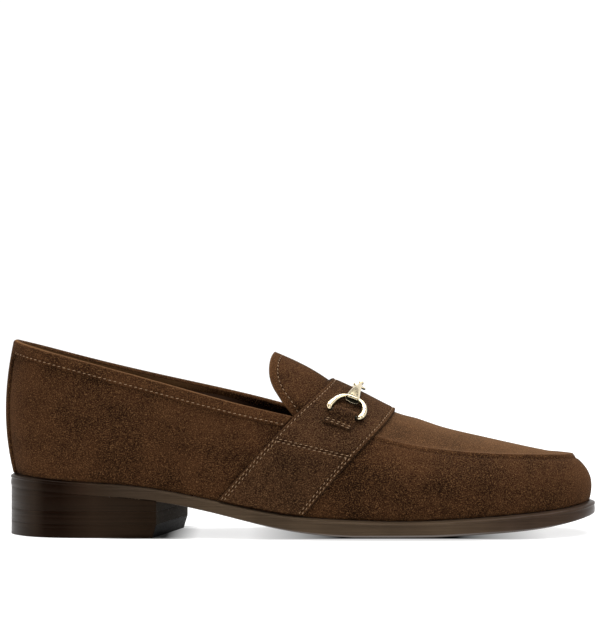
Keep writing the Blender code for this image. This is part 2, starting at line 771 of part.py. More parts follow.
def sweep(mesh, centres, normals, wide, tall, closed, sides=8):
    """Solid bar with an oval section along a path; wide lies on the strap, tall stands off it."""
    count = len(centres)
    rings = []
    for k in range(count):
        before = centres[(k - 1) % count] if closed else centres[max(k - 1, 0)]
        after = centres[(k + 1) % count] if closed else centres[min(k + 1, count - 1)]
        ahead = (after - before) / np.linalg.norm(after - before)
        level = np.cross(normals[k], ahead)
        level = level / np.linalg.norm(level)
        stand = np.cross(ahead, level)
        ring = []
        for j in range(sides + 1):
            angle = 2 * math.pi * j / sides
            ring.append(centres[k] + level * wide[k] * math.cos(angle) + stand * tall[k] * math.sin(angle))
        rings.append(ring)
    if closed:
        rings.append(rings[0])
    else:
        add_cap(mesh, rings[0][:-1])
        add_cap(mesh, rings[-1][:-1])
    add_grid(mesh, rings)


def ring_outline():
    """Closed curve of a ring: forward, up and radius in metres."""
    half = MM * np.array(RING_HALF)
    other = half[-2:0:-1] * (-1, 1, 1)
    whole = np.vstack((half, other))
    count = len(whole)
    lead = 4
    padded = np.vstack((whole[-lead:], whole, whole[:lead + 1]))
    outline = spline(np.arange(-lead, count + lead + 1), padded)
    return [outline(count * k / RING_POINTS) for k in range(RING_POINTS)]


def add_ring(side):
    """The bit's ring: horn-shaped arms from an arch, and a thin bar under the loop."""
    centres, normals, radii = [], [], []
    for forward, up, radius in ring_outline():
        lift = RING_LIFT * max(up, 0.0) / (MM * RING_HALF[0][1])
        centre, normal = on_strap(forward, up, GAP + radius + lift, side)
        centres.append(centre)
        normals.append(normal)
        radii.append(radius)
    mesh = bmesh.new()
    sweep(mesh, centres, normals, radii, radii, True)
    return mesh


def middle_of_bit(forward, sideways, height):
    """Place above the strap's ridge, where the two halves of the bit meet."""
    centre = apron(BIT_ROW, 0.5)
    normal = apron_normal(BIT_ROW, 0.5)
    ahead = np.cross(np.array((0.0, 1.0, 0.0)), normal)
    ahead = ahead / np.linalg.norm(ahead)
    point = centre + normal * (GAP + STRAP_THICK + height) + np.array((0.0, sideways, 0.0))
    return point + ahead * (BIT_MIDDLE + forward), normal


def add_shank(side, end_height):
    """Tapering shank from the ring's arch to the middle."""
    start, normal = on_strap(0.0, SHANK_LOW, SHANK_LOW_HEIGHT, side)
    end, end_normal = middle_of_bit(0.0, side * SHANK_END, end_height)
    centres, normals, wide, tall = [], [], [], []
    for share in steps(0.0, 1.0, SHANK_POINTS - 1):
        taper = share ** SHANK_TAPER
        centres.append(start + (end - start) * share + UP * SHANK_BOW * math.sin(math.pi * share))
        normals.append(normal + (end_normal - normal) * share)
        wide.append(SHANK_WIDE + (SHANK_NARROW - SHANK_WIDE) * taper)
        tall.append(SHANK_TALL + (SHANK_FLAT - SHANK_TALL) * taper)
    mesh = bmesh.new()
    sweep(mesh, centres, normals, wide, tall, False, sides=12)
    return mesh


def add_bar(places, radius, closed):
    """Round bar through places over the ridge: forward, sideways and height."""
    placed = [middle_of_bit(*place) for place in places]
    radii = [radius] * len(placed)
    mesh = bmesh.new()
    sweep(mesh, [place[0] for place in placed], [place[1] for place in placed], radii, radii, closed)
    return mesh


def lateral_end():
    """Neck that passes over the eye, and the ball that sits in it."""
    places = [(0.0, MM * sideways, MM * height) for sideways, height in BALL_NECK]
    neck = add_bar(places, BALL_NECK_RADIUS, False)
    ball = bmesh.new()
    centre = middle_of_bit(0.0, 0.0, BALL_HEIGHT)[0]
    bmesh.ops.create_uvsphere(ball, u_segments=12, v_segments=8, radius=BALL_RADIUS)
    bmesh.ops.translate(ball, verts=ball.verts, vec=centre)
    return neck, ball


def medial_end():
    """Flat eye round the ball, and the short neck that ties it to its shank."""
    places = []
    for k in range(EYE_POINTS):
        angle = 2 * math.pi * k / EYE_POINTS
        places.append((EYE_RADIUS * math.cos(angle), EYE_RADIUS * math.sin(angle), EYE_HEIGHT))
    eye = add_bar(places, EYE_WIRE, True)
    neck = add_bar([(0.0, sideways, EYE_HEIGHT) for sideways in EYE_NECK], EYE_NECK_RADIUS, False)
    return eye, neck


def build_bit(name, side, look, home, cutters):
    """One half of the bit, its bars joined into one solid."""
    lateral = side < 0
    end_height = MM * BALL_NECK[0][1] if lateral else EYE_HEIGHT
    ends = lateral_end() if lateral else medial_end()
    made = finish(name, add_ring(side), look, home)
    for number, mesh in enumerate((add_shank(side, end_height), *ends)):
        other = finish(f"{name}_joined_{number}", mesh, look, cutters)
        other.hide_render = True
        other.display_type = "WIRE"
        join = made.modifiers.new(f"join_{number}", "BOOLEAN")
        join.operation = "UNION"
        join.solver = "EXACT"
        join.object = other
    return made


def loop_half_width(rise):
    """The tab is narrow between the ring's arms and wider below them; rise is up from the bar."""
    narrow, broad = LOOP_SPREAD
    return LOOP_NECK + (LOOP_BASE - LOOP_NECK) * smooth((rise - narrow) / (broad - narrow))


def build_loop(name, side, look, home):
    """Tab sewn flat on the strap that rises over the ring's bar and folds down behind it."""
    path = MM * np.array(LOOP_PATH)
    grid = []
    for share in steps(-1.0, 1.0, LOOP_CELLS):
        line = []
        for rise, height in path:
            line.append(on_strap(share * loop_half_width(rise), rise - RING_FOOT, height, side)[0])
        grid.append(line)
    made = sheet(name, [grid], probe_at(apron, apron_normal, BIT_ROW, ring_centre(side)), look, home)
    thicken(made, LOOP_THICK, 1)
    return made


def main():
    for old in list(bpy.data.objects):
        bpy.data.objects.remove(old)
    home = collection("suede_bit_loafer")
    cutters = collection("joined_bars")
    suede = material("suede", (0.055, 0.030, 0.018), 0.92)
    sole_leather = material("sole_leather", (0.035, 0.020, 0.014), 0.40)
    rubber = material("rubber", (0.020, 0.015, 0.012), 0.60)
    lining = material("lining_leather", (0.060, 0.030, 0.018), 0.60)
    gilt = material("gilt_metal", (0.80, 0.58, 0.28), 0.22, 1.0)
    build_outsole(sole_leather, home)
    build_heel(sole_leather, rubber, home)
    build_insole(lining, home)
    build_upper(suede, home)
    build_tongue(suede, home)
    build_collar_band(suede, home)
    build_side_panel("side_panel_lateral", STRAP_ROWS, suede, home)
    build_side_panel("side_panel_medial", [TURN - row for row in STRAP_ROWS], suede, home)
    build_bridge_strap(suede, home)
    for name, side in (("lateral", -1), ("medial", 1)):
        build_loop(f"bit_loop_{name}", side, suede, home)
        build_bit(f"bit_{name}", side, gilt, home, cutters)


main()
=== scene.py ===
"""Looks of the suede bit loafer for the right foot, in the order that a shoemaker puts it together.

Metres, +X to the toe, +Y to the medial side, +Z up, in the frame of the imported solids.
"""

import json
import math

import bmesh
import bpy
import numpy as np
from mathutils import Matrix

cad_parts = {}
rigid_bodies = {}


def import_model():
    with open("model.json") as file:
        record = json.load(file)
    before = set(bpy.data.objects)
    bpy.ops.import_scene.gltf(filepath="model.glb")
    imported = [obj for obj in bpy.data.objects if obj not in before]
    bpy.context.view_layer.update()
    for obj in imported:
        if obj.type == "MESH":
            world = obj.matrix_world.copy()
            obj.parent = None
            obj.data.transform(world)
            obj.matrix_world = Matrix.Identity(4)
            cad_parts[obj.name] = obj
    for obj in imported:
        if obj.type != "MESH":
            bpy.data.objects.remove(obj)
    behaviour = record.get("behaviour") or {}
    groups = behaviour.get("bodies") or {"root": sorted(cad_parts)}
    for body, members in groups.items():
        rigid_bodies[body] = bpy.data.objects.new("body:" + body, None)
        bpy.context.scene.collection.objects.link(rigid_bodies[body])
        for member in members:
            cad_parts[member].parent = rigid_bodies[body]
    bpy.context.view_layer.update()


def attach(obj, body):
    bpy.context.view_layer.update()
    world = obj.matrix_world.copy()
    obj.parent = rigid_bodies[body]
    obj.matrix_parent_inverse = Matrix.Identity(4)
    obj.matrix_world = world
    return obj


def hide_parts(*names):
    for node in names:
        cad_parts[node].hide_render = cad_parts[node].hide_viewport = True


for old in list(bpy.data.objects):
    bpy.data.objects.remove(old)
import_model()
MM = 0.001

# Outsole
# One thick piece of sole leather, cut a little wider than the last and stuck under the lasted upper.
# Its edge is trimmed to a small bead under the feather line, stained dark brown, waxed and ironed.
LENGTH = 0.294
BALL_WIDTH = 0.104
INSTEP_HEIGHT = 0.0755
HEEL_HEIGHT = 0.0296
GAP = 0.3 * MM

# Sections from the toe tip to the heel tip: foot is the feather line, top the apron seam or the collar.
# Percent of LENGTH for x, of BALL_WIDTH for lat, med and ledge, of INSTEP_HEIGHT for rise.
# Flare bows the wall out in its lower half and tuck in its upper half.
SECTION_COLUMNS = (
    "foot_x", "foot_lat", "foot_med", "top_x", "top_lat", "top_med",
    "rise_lat", "rise_med", "flare", "tuck", "ledge",
)
SECTIONS = {
    "toe_tip": (99.0, -2.9, 2.9, 96.0, -2.9, 2.9, 51.2, 51.2, 0.64, 1.12, 2.6),
    "toe_corner": (97.0, 15.4, 20.2, 94.5, 9.8, 14.6, 51.4, 51.4, 0.63, 1.10, 2.8),
    "toe_side": (92.3, 28.6, 32.9, 90.0, 19.8, 24.4, 52.0, 52.0, 0.58, 1.12, 3.0),
    "forefoot": (84.7, 38.4, 41.0, 83.2, 27.6, 29.8, 53.0, 53.0, 0.55, 1.25, 3.1),
    "ball_front": (76.3, 44.3, 45.8, 77.2, 31.2, 32.3, 54.5, 54.5, 0.55, 1.30, 3.1),
    "ball": (67.0, 46.9, 46.9, 71.4, 33.7, 33.2, 57.1, 57.1, 0.52, 1.30, 3.1),
    "vamp": (58.2, 45.5, 42.5, 66.5, 34.1, 32.7, 60.5, 60.5, 0.50, 1.20, 2.9),
    "strap_front": (50.4, 42.1, 35.5, 62.2, 34.1, 32.2, 65.0, 65.0, 0.45, 1.10, 2.4),
    "strap_mid": (43.2, 38.0, 29.3, 56.1, 33.2, 30.8, 71.5, 72.5, 0.40, 0.95, 1.9),
    "strap_rear": (36.3, 34.1, 25.8, 49.0, 31.7, 29.3, 78.0, 81.9, 0.34, 0.70, 1.6),
    "waist": (27.6, 31.5, 25.5, 39.1, 30.3, 28.8, 87.0, 92.0, 0.28, 0.35, 1.4),
    "quarter": (18.7, 31.0, 29.0, 27.6, 28.7, 28.4, 99.3, 101.9, 0.26, 0.25, 1.3),
    "heel_front": (10.9, 29.6, 29.6, 15.6, 26.3, 26.8, 112.0, 112.8, 0.24, 0.22, 1.3),
    "heel_side": (5.4, 22.3, 22.8, 6.3, 20.0, 20.8, 121.8, 122.4, 0.24, 0.22, 1.7),
    "heel_corner": (2.4, 8.4, 9.2, 2.5, 8.2, 9.1, 126.4, 126.5, 0.26, 0.22, 2.4),
    "heel_tip": (1.95, -0.5, 0.5, 2.05, -0.5, 0.5, 127.3, 127.3, 0.26, 0.22, 2.5),
}
ROW = {name: row for row, name in enumerate(SECTIONS)}
HEEL_TIP = ROW["heel_tip"]
TURN = 2 * HEEL_TIP  # rows once round the shoe: down the lateral side, back up the medial side

# Along the middle: percent of LENGTH, then upper face, lower face and lift of the lower edges,
# these three in percent of HEEL_HEIGHT
SOLE_PROFILE = (
    (0.0, 102.6, 80.1, 0.0),
    (12.6, 92.2, 72.0, 0.0),
    (24.1, 82.8, 62.2, 0.0),
    (29.6, 74.0, 51.4, 3.4),
    (36.4, 60.5, 36.5, 4.1),
    (43.2, 47.3, 19.9, 5.1),
    (50.7, 37.2, 6.1, 6.8),
    (57.5, 33.4, 0.5, 7.8),
    (65.0, 31.4, -1.0, 8.4),
    (72.8, 32.8, 0.3, 8.8),
    (81.0, 37.2, 4.1, 8.4),
    (86.1, 40.5, 7.5, 7.4),
    (93.0, 46.3, 16.5, 5.1),
    (100.0, 57.1, 34.0, 0.0),
)
FLAT_SHARE = 0.45  # middle part of the outsole's width that has no lift
HEEL_OUT = 0.88  # the lifts stand in a little from the outsole's edge, share of the ledge
HEEL_FRONT = (-0.077, -0.069)  # over the heel, up to here, the lower edge is trimmed flush with the lifts
# Edge from the feather line down: outward share of the ledge, drop as a share of the edge
SOLE_EDGE = (
    (0.0, 0.00),
    (0.75, 0.09),
    (1.0, 0.20),
    (1.0, 0.27),
    (0.90, 0.33),
    (0.97, 0.60),
    (0.90, 0.90),
    (0.55, 1.00),
)
SOLE_EDGE_STEPS = 36
CELLS_EACH_ROW = 16
# Stain of the trimmed edge from the heel to the toe: x in metres, colour. The light and dark bands at the
# heel's back are painted reflection.
EDGE_STAIN_AND_REFLECTION = (
    (-0.130, (0.0160, 0.0098, 0.0064)),
    (-0.1245, (0.0056, 0.0020, 0.0009)),
    (-0.1165, (0.0056, 0.0020, 0.0009)),
    (-0.107, (0.0190, 0.0100, 0.0060)),
    (-0.097, (0.0290, 0.0180, 0.0110)),
    (-0.086, (0.0420, 0.0280, 0.0185)),
    (-0.046, (0.0640, 0.0435, 0.0275)),
    (0.070, (0.0610, 0.0410, 0.0260)),
    (0.104, (0.0440, 0.0280, 0.0190)),
    (0.134, (0.0360, 0.0220, 0.0150)),
)
ACROSS_CELLS = 48
EDGE_CROWDING = 0.7  # cells across the shoe are narrower towards its sides
LOWER_EDGE = SOLE_EDGE[-1][0]  # outward share of the edge's last point
FLUSH_FROM = 0.5  # share of the edge from which it is trimmed flush with the lifts
OUTLINE_POINTS = 400
OUTLINE_ROWS = np.linspace(HEEL_TIP - 0.05, 0.05, 240)
OUTWARD_STEP = 0.01
ROUND_POWER = 4  # how fast the round toe and heel die out towards the middle
FLARE, TUCK, LEDGE = 5, 6, 7  # columns of the section loop
WELD = 0.01 * MM  # points nearer than this become one
MIX_INPUTS = (0, 6, 7)  # numbers of the mix node's share and of its two colours
MIX_OUTPUT = 2


def curve(knots, values):
    """Natural cubic curve through the values, for one place or an array of places."""
    knots = np.asarray(knots, float)
    values = np.asarray(values, float)
    flat = values.reshape(len(knots), -1)
    step = np.diff(knots)
    count = len(knots)
    matrix = np.eye(count)
    target = np.zeros_like(flat)
    for k in range(1, count - 1):
        matrix[k, k - 1:k + 2] = step[k - 1], 2 * (step[k - 1] + step[k]), step[k]
        target[k] = 6 * ((flat[k + 1] - flat[k]) / step[k] - (flat[k] - flat[k - 1]) / step[k - 1])
    bend = np.linalg.solve(matrix, target).reshape(values.shape)

    def at(place):
        place = np.asarray(place, float)
        k = np.clip(np.searchsorted(knots, place) - 1, 0, count - 2)
        shape = place.shape + (1,) * (values.ndim - 1)
        left = np.reshape(knots[k + 1] - place, shape)
        right = np.reshape(place - knots[k], shape)
        width = np.reshape(step[k], shape)
        bent = (bend[k] * left ** 3 + bend[k + 1] * right ** 3) / (6 * width)
        line = (values[k] * left + values[k + 1] * right) / width
        return bent + line - width / 6 * (bend[k] * left + bend[k + 1] * right)

    return at


def closed_curve(values, lead):
    """Curve through a closed loop of values, by their number; lead values are repeated at both ends."""
    padded = np.concatenate((values[-lead:], values, values[:lead + 1]))
    return curve(np.arange(-lead, len(values) + lead + 1), padded)


def along(percent):
    return (np.asarray(percent) / 100 - 0.5) * LENGTH


def smooth(share):
    share = np.clip(share, 0.0, 1.0)
    return share * share * (3 - 2 * share)


def unit(vectors):
    return vectors / np.linalg.norm(vectors, axis=-1, keepdims=True)


def section_loop():
    """All section columns as one curve round the shoe, by row number."""
    table = np.array(list(SECTIONS.values()))
    column = {name: table[:, k] for k, name in enumerate(SECTION_COLUMNS)}
    sides = []
    for sign, side in ((-1, "lat"), (1, "med")):
        sides.append(np.column_stack((
            along(column["foot_x"]),
            sign * BALL_WIDTH / 100 * column["foot_" + side],
            along(column["top_x"]),
            sign * BALL_WIDTH / 100 * column["top_" + side],
            INSTEP_HEIGHT / 100 * column["rise_" + side],
            column["flare"],
            column["tuck"],
            BALL_WIDTH / 100 * column["ledge"],
        )))
    lateral, medial = sides
    return closed_curve(np.vstack((lateral, medial[HEEL_TIP - 1:0:-1])), lead=5)


LOOP = section_loop()
PROFILE = curve(
    [along(line[0]) for line in SOLE_PROFILE],
    [[HEEL_HEIGHT * value / 100 for value in line[1:]] for line in SOLE_PROFILE],
)
EDGE_SHAPE = curve(np.linspace(0, 1, len(SOLE_EDGE)), SOLE_EDGE)(np.linspace(0, 1, SOLE_EDGE_STEPS + 1))
FRONT = ROW["toe_corner"]
BACK = ROW["heel_corner"]


def sole_top(x):
    return PROFILE(x)[..., 0]


def foot(row):
    """Feather line, where the upper meets the sole."""
    place = LOOP(np.mod(row, TURN))
    return np.stack((place[..., 0], place[..., 1], sole_top(place[..., 0]) + GAP), axis=-1)


def outward(row):
    ahead = foot(row + OUTWARD_STEP) - foot(row - OUTWARD_STEP)
    return unit(np.stack((-ahead[..., 1], ahead[..., 0], np.zeros_like(ahead[..., 0])), axis=-1))


def ledge_point(row, outward_share):
    """Plan place on the sole's edge, measured out from the feather line."""
    ledge = LOOP(np.mod(row, TURN))[..., LEDGE] * outward_share
    return foot(row)[..., :2] + outward(row)[..., :2] * ledge[..., None]


def outline_table():
    """Lateral and medial edge of the outsole's lower face, by place along the shoe."""
    lateral = ledge_point(OUTLINE_ROWS, LOWER_EDGE)
    medial = ledge_point(-OUTLINE_ROWS, LOWER_EDGE)
    x = np.linspace(-LENGTH / 2, LENGTH / 2, OUTLINE_POINTS)
    return x, np.interp(x, lateral[:, 0], lateral[:, 1]), np.interp(x, medial[:, 0], medial[:, 1])


OUTLINE_X, OUTLINE_LATERAL, OUTLINE_MEDIAL = outline_table()


def sole_bottom(x, y):
    lateral = np.interp(x, OUTLINE_X, OUTLINE_LATERAL)
    medial = np.interp(x, OUTLINE_X, OUTLINE_MEDIAL)
    share = np.abs(2 * (y - lateral) / np.maximum(medial - lateral, MM) - 1)
    profile = PROFILE(x)
    rounded = np.clip((share - FLAT_SHARE) / (1 - FLAT_SHARE), 0.0, 1.0) ** 2
    return np.maximum(profile[..., 1], 0.0) + profile[..., 2] * rounded


def edge_point(row, outward_share, drop):
    over_heel = smooth((HEEL_FRONT[1] - foot(row)[..., 0]) / (HEEL_FRONT[1] - HEEL_FRONT[0]))
    if drop > FLUSH_FROM:
        outward_share = np.maximum(outward_share, HEEL_OUT * over_heel)
    plan = ledge_point(row, outward_share)
    high = sole_top(foot(row)[..., 0])
    low_plan = ledge_point(row, LOWER_EDGE)
    low = sole_bottom(low_plan[..., 0], low_plan[..., 1])
    return np.concatenate((plan, (high + (low - high) * drop)[..., None]), axis=-1)


def steps_across(cells):
    """Shares from the lateral to the medial side, closer together at the sides."""
    even = np.linspace(0, 1, cells + 1)
    return even - EDGE_CROWDING * np.sin(2 * np.pi * even) / (2 * np.pi)


ACROSS = steps_across(ACROSS_CELLS)
LATERAL_ROWS = np.linspace(FRONT, BACK, (BACK - FRONT) * CELLS_EACH_ROW + 1)
HEEL_ARC = BACK + 2 * (HEEL_TIP - BACK) * ACROSS
TOE_ARC = TURN - FRONT + 2 * FRONT * ACROSS
ROUND_ROWS = np.concatenate((LATERAL_ROWS[:-1], HEEL_ARC[:-1], TURN - LATERAL_ROWS[:0:-1], TOE_ARC[:-1]))


def across_grid(edge, height):
    """Points between the two sides of a closed edge, row by row from the toe arc to the heel arc."""
    row = LATERAL_ROWS[:, None]
    across = ACROSS[None, :, None]
    share = ((LATERAL_ROWS - FRONT) / (BACK - FRONT))[:, None, None]
    sides = edge(row) + (edge(-row) - edge(row)) * across
    ends = []
    for arc, corner in ((FRONT * (1 - 2 * ACROSS), FRONT), (HEEL_ARC, BACK)):
        near = edge(np.array([corner]))
        far = edge(np.array([-corner]))
        ends.append((edge(arc) - near - (far - near) * ACROSS[:, None])[None])
    points = sides + ends[0] * (1 - share) ** ROUND_POWER + ends[1] * share ** ROUND_POWER
    inner = points[1:-1, 1:-1]
    inner[..., 2] = height(inner[..., 0], inner[..., 1])
    return points


def grid_faces(rows, columns, closed=False, start=0):
    """Four-sided faces of points numbered row by row; closed joins the last row to the first."""
    first_row = np.arange(rows if closed else rows - 1)[:, None]
    column = np.arange(columns - 1)
    here = first_row * columns + column
    there = (first_row + 1) % rows * columns + column
    return (np.stack((here, here + 1, there + 1, there), axis=-1) + start).reshape(-1, 4).tolist()


def joined(*parts):
    """Several lists of points and faces as one."""
    points, faces = [], []
    count = 0
    for part_points, part_faces in parts:
        part_points = np.asarray(part_points).reshape(-1, 3)
        points.append(part_points)
        faces += [[number + count for number in face] for face in part_faces]
        count += len(part_points)
    return np.concatenate(points), faces


def piece(name, points, faces, looks, choose=None, nap=None):
    """Welded mesh with outward faces; choose gives each face's look, nap each point's shade of suede,
    painted light and shade included.
    """
    data = bpy.data.meshes.new(name)
    data.from_pydata(np.asarray(points).reshape(-1, 3).tolist(), [], faces)
    for look in looks:
        data.materials.append(look)
    if choose is not None:
        data.polygons.foreach_set("material_index", np.asarray(choose, np.int32))
    if nap is not None:
        shade = data.attributes.new("nap", "FLOAT", "POINT")
        shade.data.foreach_set("value", np.asarray(nap, np.float32).ravel())
    mesh = bmesh.new()
    mesh.from_mesh(data)
    bmesh.ops.remove_doubles(mesh, verts=mesh.verts, dist=WELD)
    bmesh.ops.recalc_face_normals(mesh, faces=mesh.faces)
    for face in mesh.faces:
        face.smooth = True
    mesh.to_mesh(data)
    mesh.free()
    made = bpy.data.objects.new(name, data)
    bpy.context.scene.collection.objects.link(made)
    return made


def dress(made, node):
    """Let a finished mesh stand for one solid of the frame."""
    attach(made, "root")
    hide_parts(node)


def new_look(name):
    """New material, its node tree and its shader."""
    look = bpy.data.materials.new(name)
    look.use_nodes = True
    return look, look.node_tree, look.node_tree.nodes["Principled BSDF"]


def feed(tree, socket, value):
    """Link another node's output to a socket or set its value; a colour gets its alpha."""
    if isinstance(value, bpy.types.NodeSocket):
        tree.links.new(value, socket)
    else:
        socket.default_value = (*value, 1.0) if socket.type == "RGBA" else value


def set_inputs(tree, node, **inputs):
    """Inputs of a node by name; an underscore stands for the space in a socket's name."""
    for name, value in inputs.items():
        feed(tree, node.inputs[name.replace("_", " ")], value)


def add_node(tree, kind, settings=None, **inputs):
    made = tree.nodes.new(kind)
    for name, value in (settings or {}).items():
        setattr(made, name, value)
    set_inputs(tree, made, **inputs)
    return made


def own_place(tree):
    """Place of each point in the shoe's own metres."""
    return add_node(tree, "ShaderNodeTexCoord").outputs["Object"]


def noise(tree, scale, detail=2.0, stretch=(1.0, 1.0, 1.0), roughness=0.5):
    """Noise in the shoe's own metres, finer along an axis where stretch is above 1."""
    moved = add_node(tree, "ShaderNodeMapping", Vector=own_place(tree), Scale=stretch).outputs[0]
    made = add_node(
        tree, "ShaderNodeTexNoise", Vector=moved, Scale=scale, Detail=detail, Roughness=roughness)
    return made.outputs[0]


def remap(tree, value, source, target=(0.0, 1.0)):
    """Value carried from the range source to the range target, and held at its ends."""
    made = add_node(tree, "ShaderNodeMapRange", Value=value)
    for number, limit in enumerate((*source, *target), start=1):
        feed(tree, made.inputs[number], limit)
    return made.outputs[0]


def calculate(tree, operation, *values):
    made = add_node(tree, "ShaderNodeMath", {"operation": operation})
    for socket, value in zip(made.inputs, values):
        feed(tree, socket, value)
    return made.outputs[0]


def weighted(tree, *layers):
    """Sum of layers, each a value and its weight."""
    total = 0.0
    for value, weight in layers:
        total = calculate(tree, "MULTIPLY_ADD", value, weight, total)
    return total


def mix_colours(tree, share, first, second, blend="MIX"):
    made = add_node(tree, "ShaderNodeMix", {"data_type": "RGBA", "blend_type": blend})
    for number, value in zip(MIX_INPUTS, (share, first, second)):
        feed(tree, made.inputs[number], value)
    return made.outputs[MIX_OUTPUT]


def bump(tree, height, strength, distance):
    made = add_node(tree, "ShaderNodeBump", Strength=strength, Distance=distance, Height=height)
    return made.outputs[0]


def stain(tree, stops):
    """Colour by place along the shoe, from stops of x and colour."""
    x = add_node(tree, "ShaderNodeSeparateXYZ", Vector=own_place(tree)).outputs["X"]
    first, last = stops[0][0], stops[-1][0]
    made = add_node(tree, "ShaderNodeValToRGB", Fac=remap(tree, x, (first, last)))
    bands = made.color_ramp.elements
    for number, (at, colour) in enumerate(stops):
        band = bands[number] if number < 2 else bands.new(1.0)
        band.position = (at - first) / (last - first)
        band.color = (*colour, 1.0)
    return made.outputs["Color"]


def varied(tree, colour, share):
    """Colour made lighter and darker by a share around 1."""
    return mix_colours(tree, 1.0, colour, share, "MULTIPLY")


def waxed_edge(name, stops):
    """Stained and waxed leather edge with fine streaks along the shoe; its stops hold painted reflection at
    the heel.
    """
    look, tree, shader = new_look(name)
    streaks = noise(tree, scale=55.0, detail=4.0, stretch=(0.35, 0.35, 26.0), roughness=0.6)
    cloud = noise(tree, scale=38.0, detail=2.0)
    share = weighted(tree, (streaks, 0.6), (cloud, 0.4))
    tone = varied(tree, stain(tree, stops), remap(tree, share, (0.36, 0.66), (0.70, 1.30)))
    set_inputs(
        tree, shader,
        Base_Color=tone,
        Roughness=remap(tree, streaks, (0.3, 0.7), (0.26, 0.40)),
        Specular_IOR_Level=0.08,
        Specular_Tint=(0.80, 0.62, 0.45),
        Normal=bump(tree, streaks, strength=0.16, distance=0.15 * MM),
    )
    return look


def worn_underside(name):
    """Plain sole leather underneath, matt and lightly marked."""
    look, tree, shader = new_look(name)
    marks = noise(tree, scale=160.0, detail=5.0, stretch=(0.4, 1.0, 1.0), roughness=0.65)
    marked = remap(tree, marks, (0.35, 0.7))
    set_inputs(
        tree, shader,
        Base_Color=mix_colours(tree, marked, (0.045, 0.028, 0.018), (0.105, 0.068, 0.044)),
        Roughness=remap(tree, marks, (0.3, 0.7), (0.55, 0.75)),
        Normal=bump(tree, marks, strength=0.2, distance=0.2 * MM),
    )
    return look


edge_look = waxed_edge("edge_wax", EDGE_STAIN_AND_REFLECTION)
underside_look = worn_underside("sole_underside")
edge_grid = np.stack([edge_point(ROUND_ROWS, out, drop) for out, drop in EDGE_SHAPE], axis=1)
sole_over = across_grid(lambda row: edge_point(row, *EDGE_SHAPE[0]), lambda x, y: sole_top(x))
sole_under = across_grid(lambda row: edge_point(row, *EDGE_SHAPE[-1]), sole_bottom)
sole_parts = (
    (edge_grid, grid_faces(*edge_grid.shape[:2], closed=True)),
    (sole_over, grid_faces(*sole_over.shape[:2])),
    (sole_under, grid_faces(*sole_under.shape[:2])),
)
outsole_choose = np.repeat((0, 0, 1), [len(faces) for _, faces in sole_parts])
outsole = piece("outsole_leather", *joined(*sole_parts), [edge_look, underside_look], outsole_choose)
dress(outsole, "outsole")

# Heel
# Lifts of sole leather nailed and stuck under the heel seat, with a hard rubber top piece under them.
# They are trimmed together, stained almost black-brown and polished; the joints show as faint lines.
BREAST_LATERAL = 26.2  # front of the heel, percent of LENGTH
BREAST_MEDIAL = 30.5
LIFT_LINE = 0.0129
TOP_PIECE_HEIGHT = 0.0065
BREAST_BEVEL = 0.0020
BEVEL_FROM = 20.0  # percent of LENGTH where the heel's sides start to lean back to the bevel
BEVEL_POWER = 8
ROW_TRIES = 400
LIFT_CELLS = 60
LIFT_EDGE = 0.07 * MM  # rounding of each layer's edges
LAYER_GROOVE = 0.03 * MM
LAYER_HALF = 0.16 * MM
JOINT = 0.04 * MM  # glued joint between the layers
# Stain of the heel from the back to the breast: x in metres, colour. Its light and dark bands are painted
# reflection on the polished heel.
HEEL_STAIN_AND_REFLECTION = (
    (-0.130, (0.0150, 0.0092, 0.0060)),
    (-0.1245, (0.0052, 0.0018, 0.0008)),
    (-0.1165, (0.0056, 0.0020, 0.0009)),
    (-0.100, (0.0175, 0.0100, 0.0060)),
    (-0.088, (0.0175, 0.0100, 0.0060)),
    (-0.076, (0.0130, 0.0068, 0.0036)),
)
LAYER_LINES = {"heel_lift_upper": (0.0198,), "heel_lift_lower": (0.0099,), "top_piece": (0.0047,)}


def row_at(x, start, end):
    """Row between start and end whose feather point lies at x."""
    rows = np.linspace(start, end, ROW_TRIES)
    return float(rows[np.argmin(np.abs(foot(rows)[:, 0] - x))])


BREAST_ROWS = (
    row_at(along(BREAST_LATERAL), ROW["waist"] - 1, ROW["quarter"]),
    row_at(along(BREAST_MEDIAL), TURN - ROW["quarter"], TURN - ROW["waist"] + 1),
)


def lift_plan():
    """Plan outline of the heel: lateral side, heel arc, medial side, breast."""
    lateral = ledge_point(np.linspace(BREAST_ROWS[0], BACK, LIFT_CELLS + 1), HEEL_OUT)
    arc = ledge_point(HEEL_ARC[1:-1], HEEL_OUT)
    medial = ledge_point(np.linspace(TURN - BACK, BREAST_ROWS[1], LIFT_CELLS + 1), HEEL_OUT)
    share = np.linspace(0, 1, LIFT_CELLS + 1)[1:-1, None]
    breast = medial[-1] + (lateral[0] - medial[-1]) * share
    return np.concatenate((lateral, arc, medial, breast))


LIFT_PLAN = lift_plan()
BREAST_START = len(LIFT_PLAN) - LIFT_CELLS  # the breast's first place in the plan
BREAST_SHARE = np.interp(LIFT_PLAN[:, 0], along((BEVEL_FROM, BREAST_LATERAL)), (0.0, 1.0))


def plan_inwards(plan):
    """Unit directions into a closed plan outline."""
    ahead = np.roll(plan, -1, axis=0) - np.roll(plan, 1, axis=0)
    normal = unit(np.stack((-ahead[:, 1], ahead[:, 0]), axis=-1))
    centre = plan.mean(axis=0)
    return normal if np.sum(normal * (centre - plan)) > 0 else -normal


LIFT_INWARDS = plan_inwards(LIFT_PLAN)


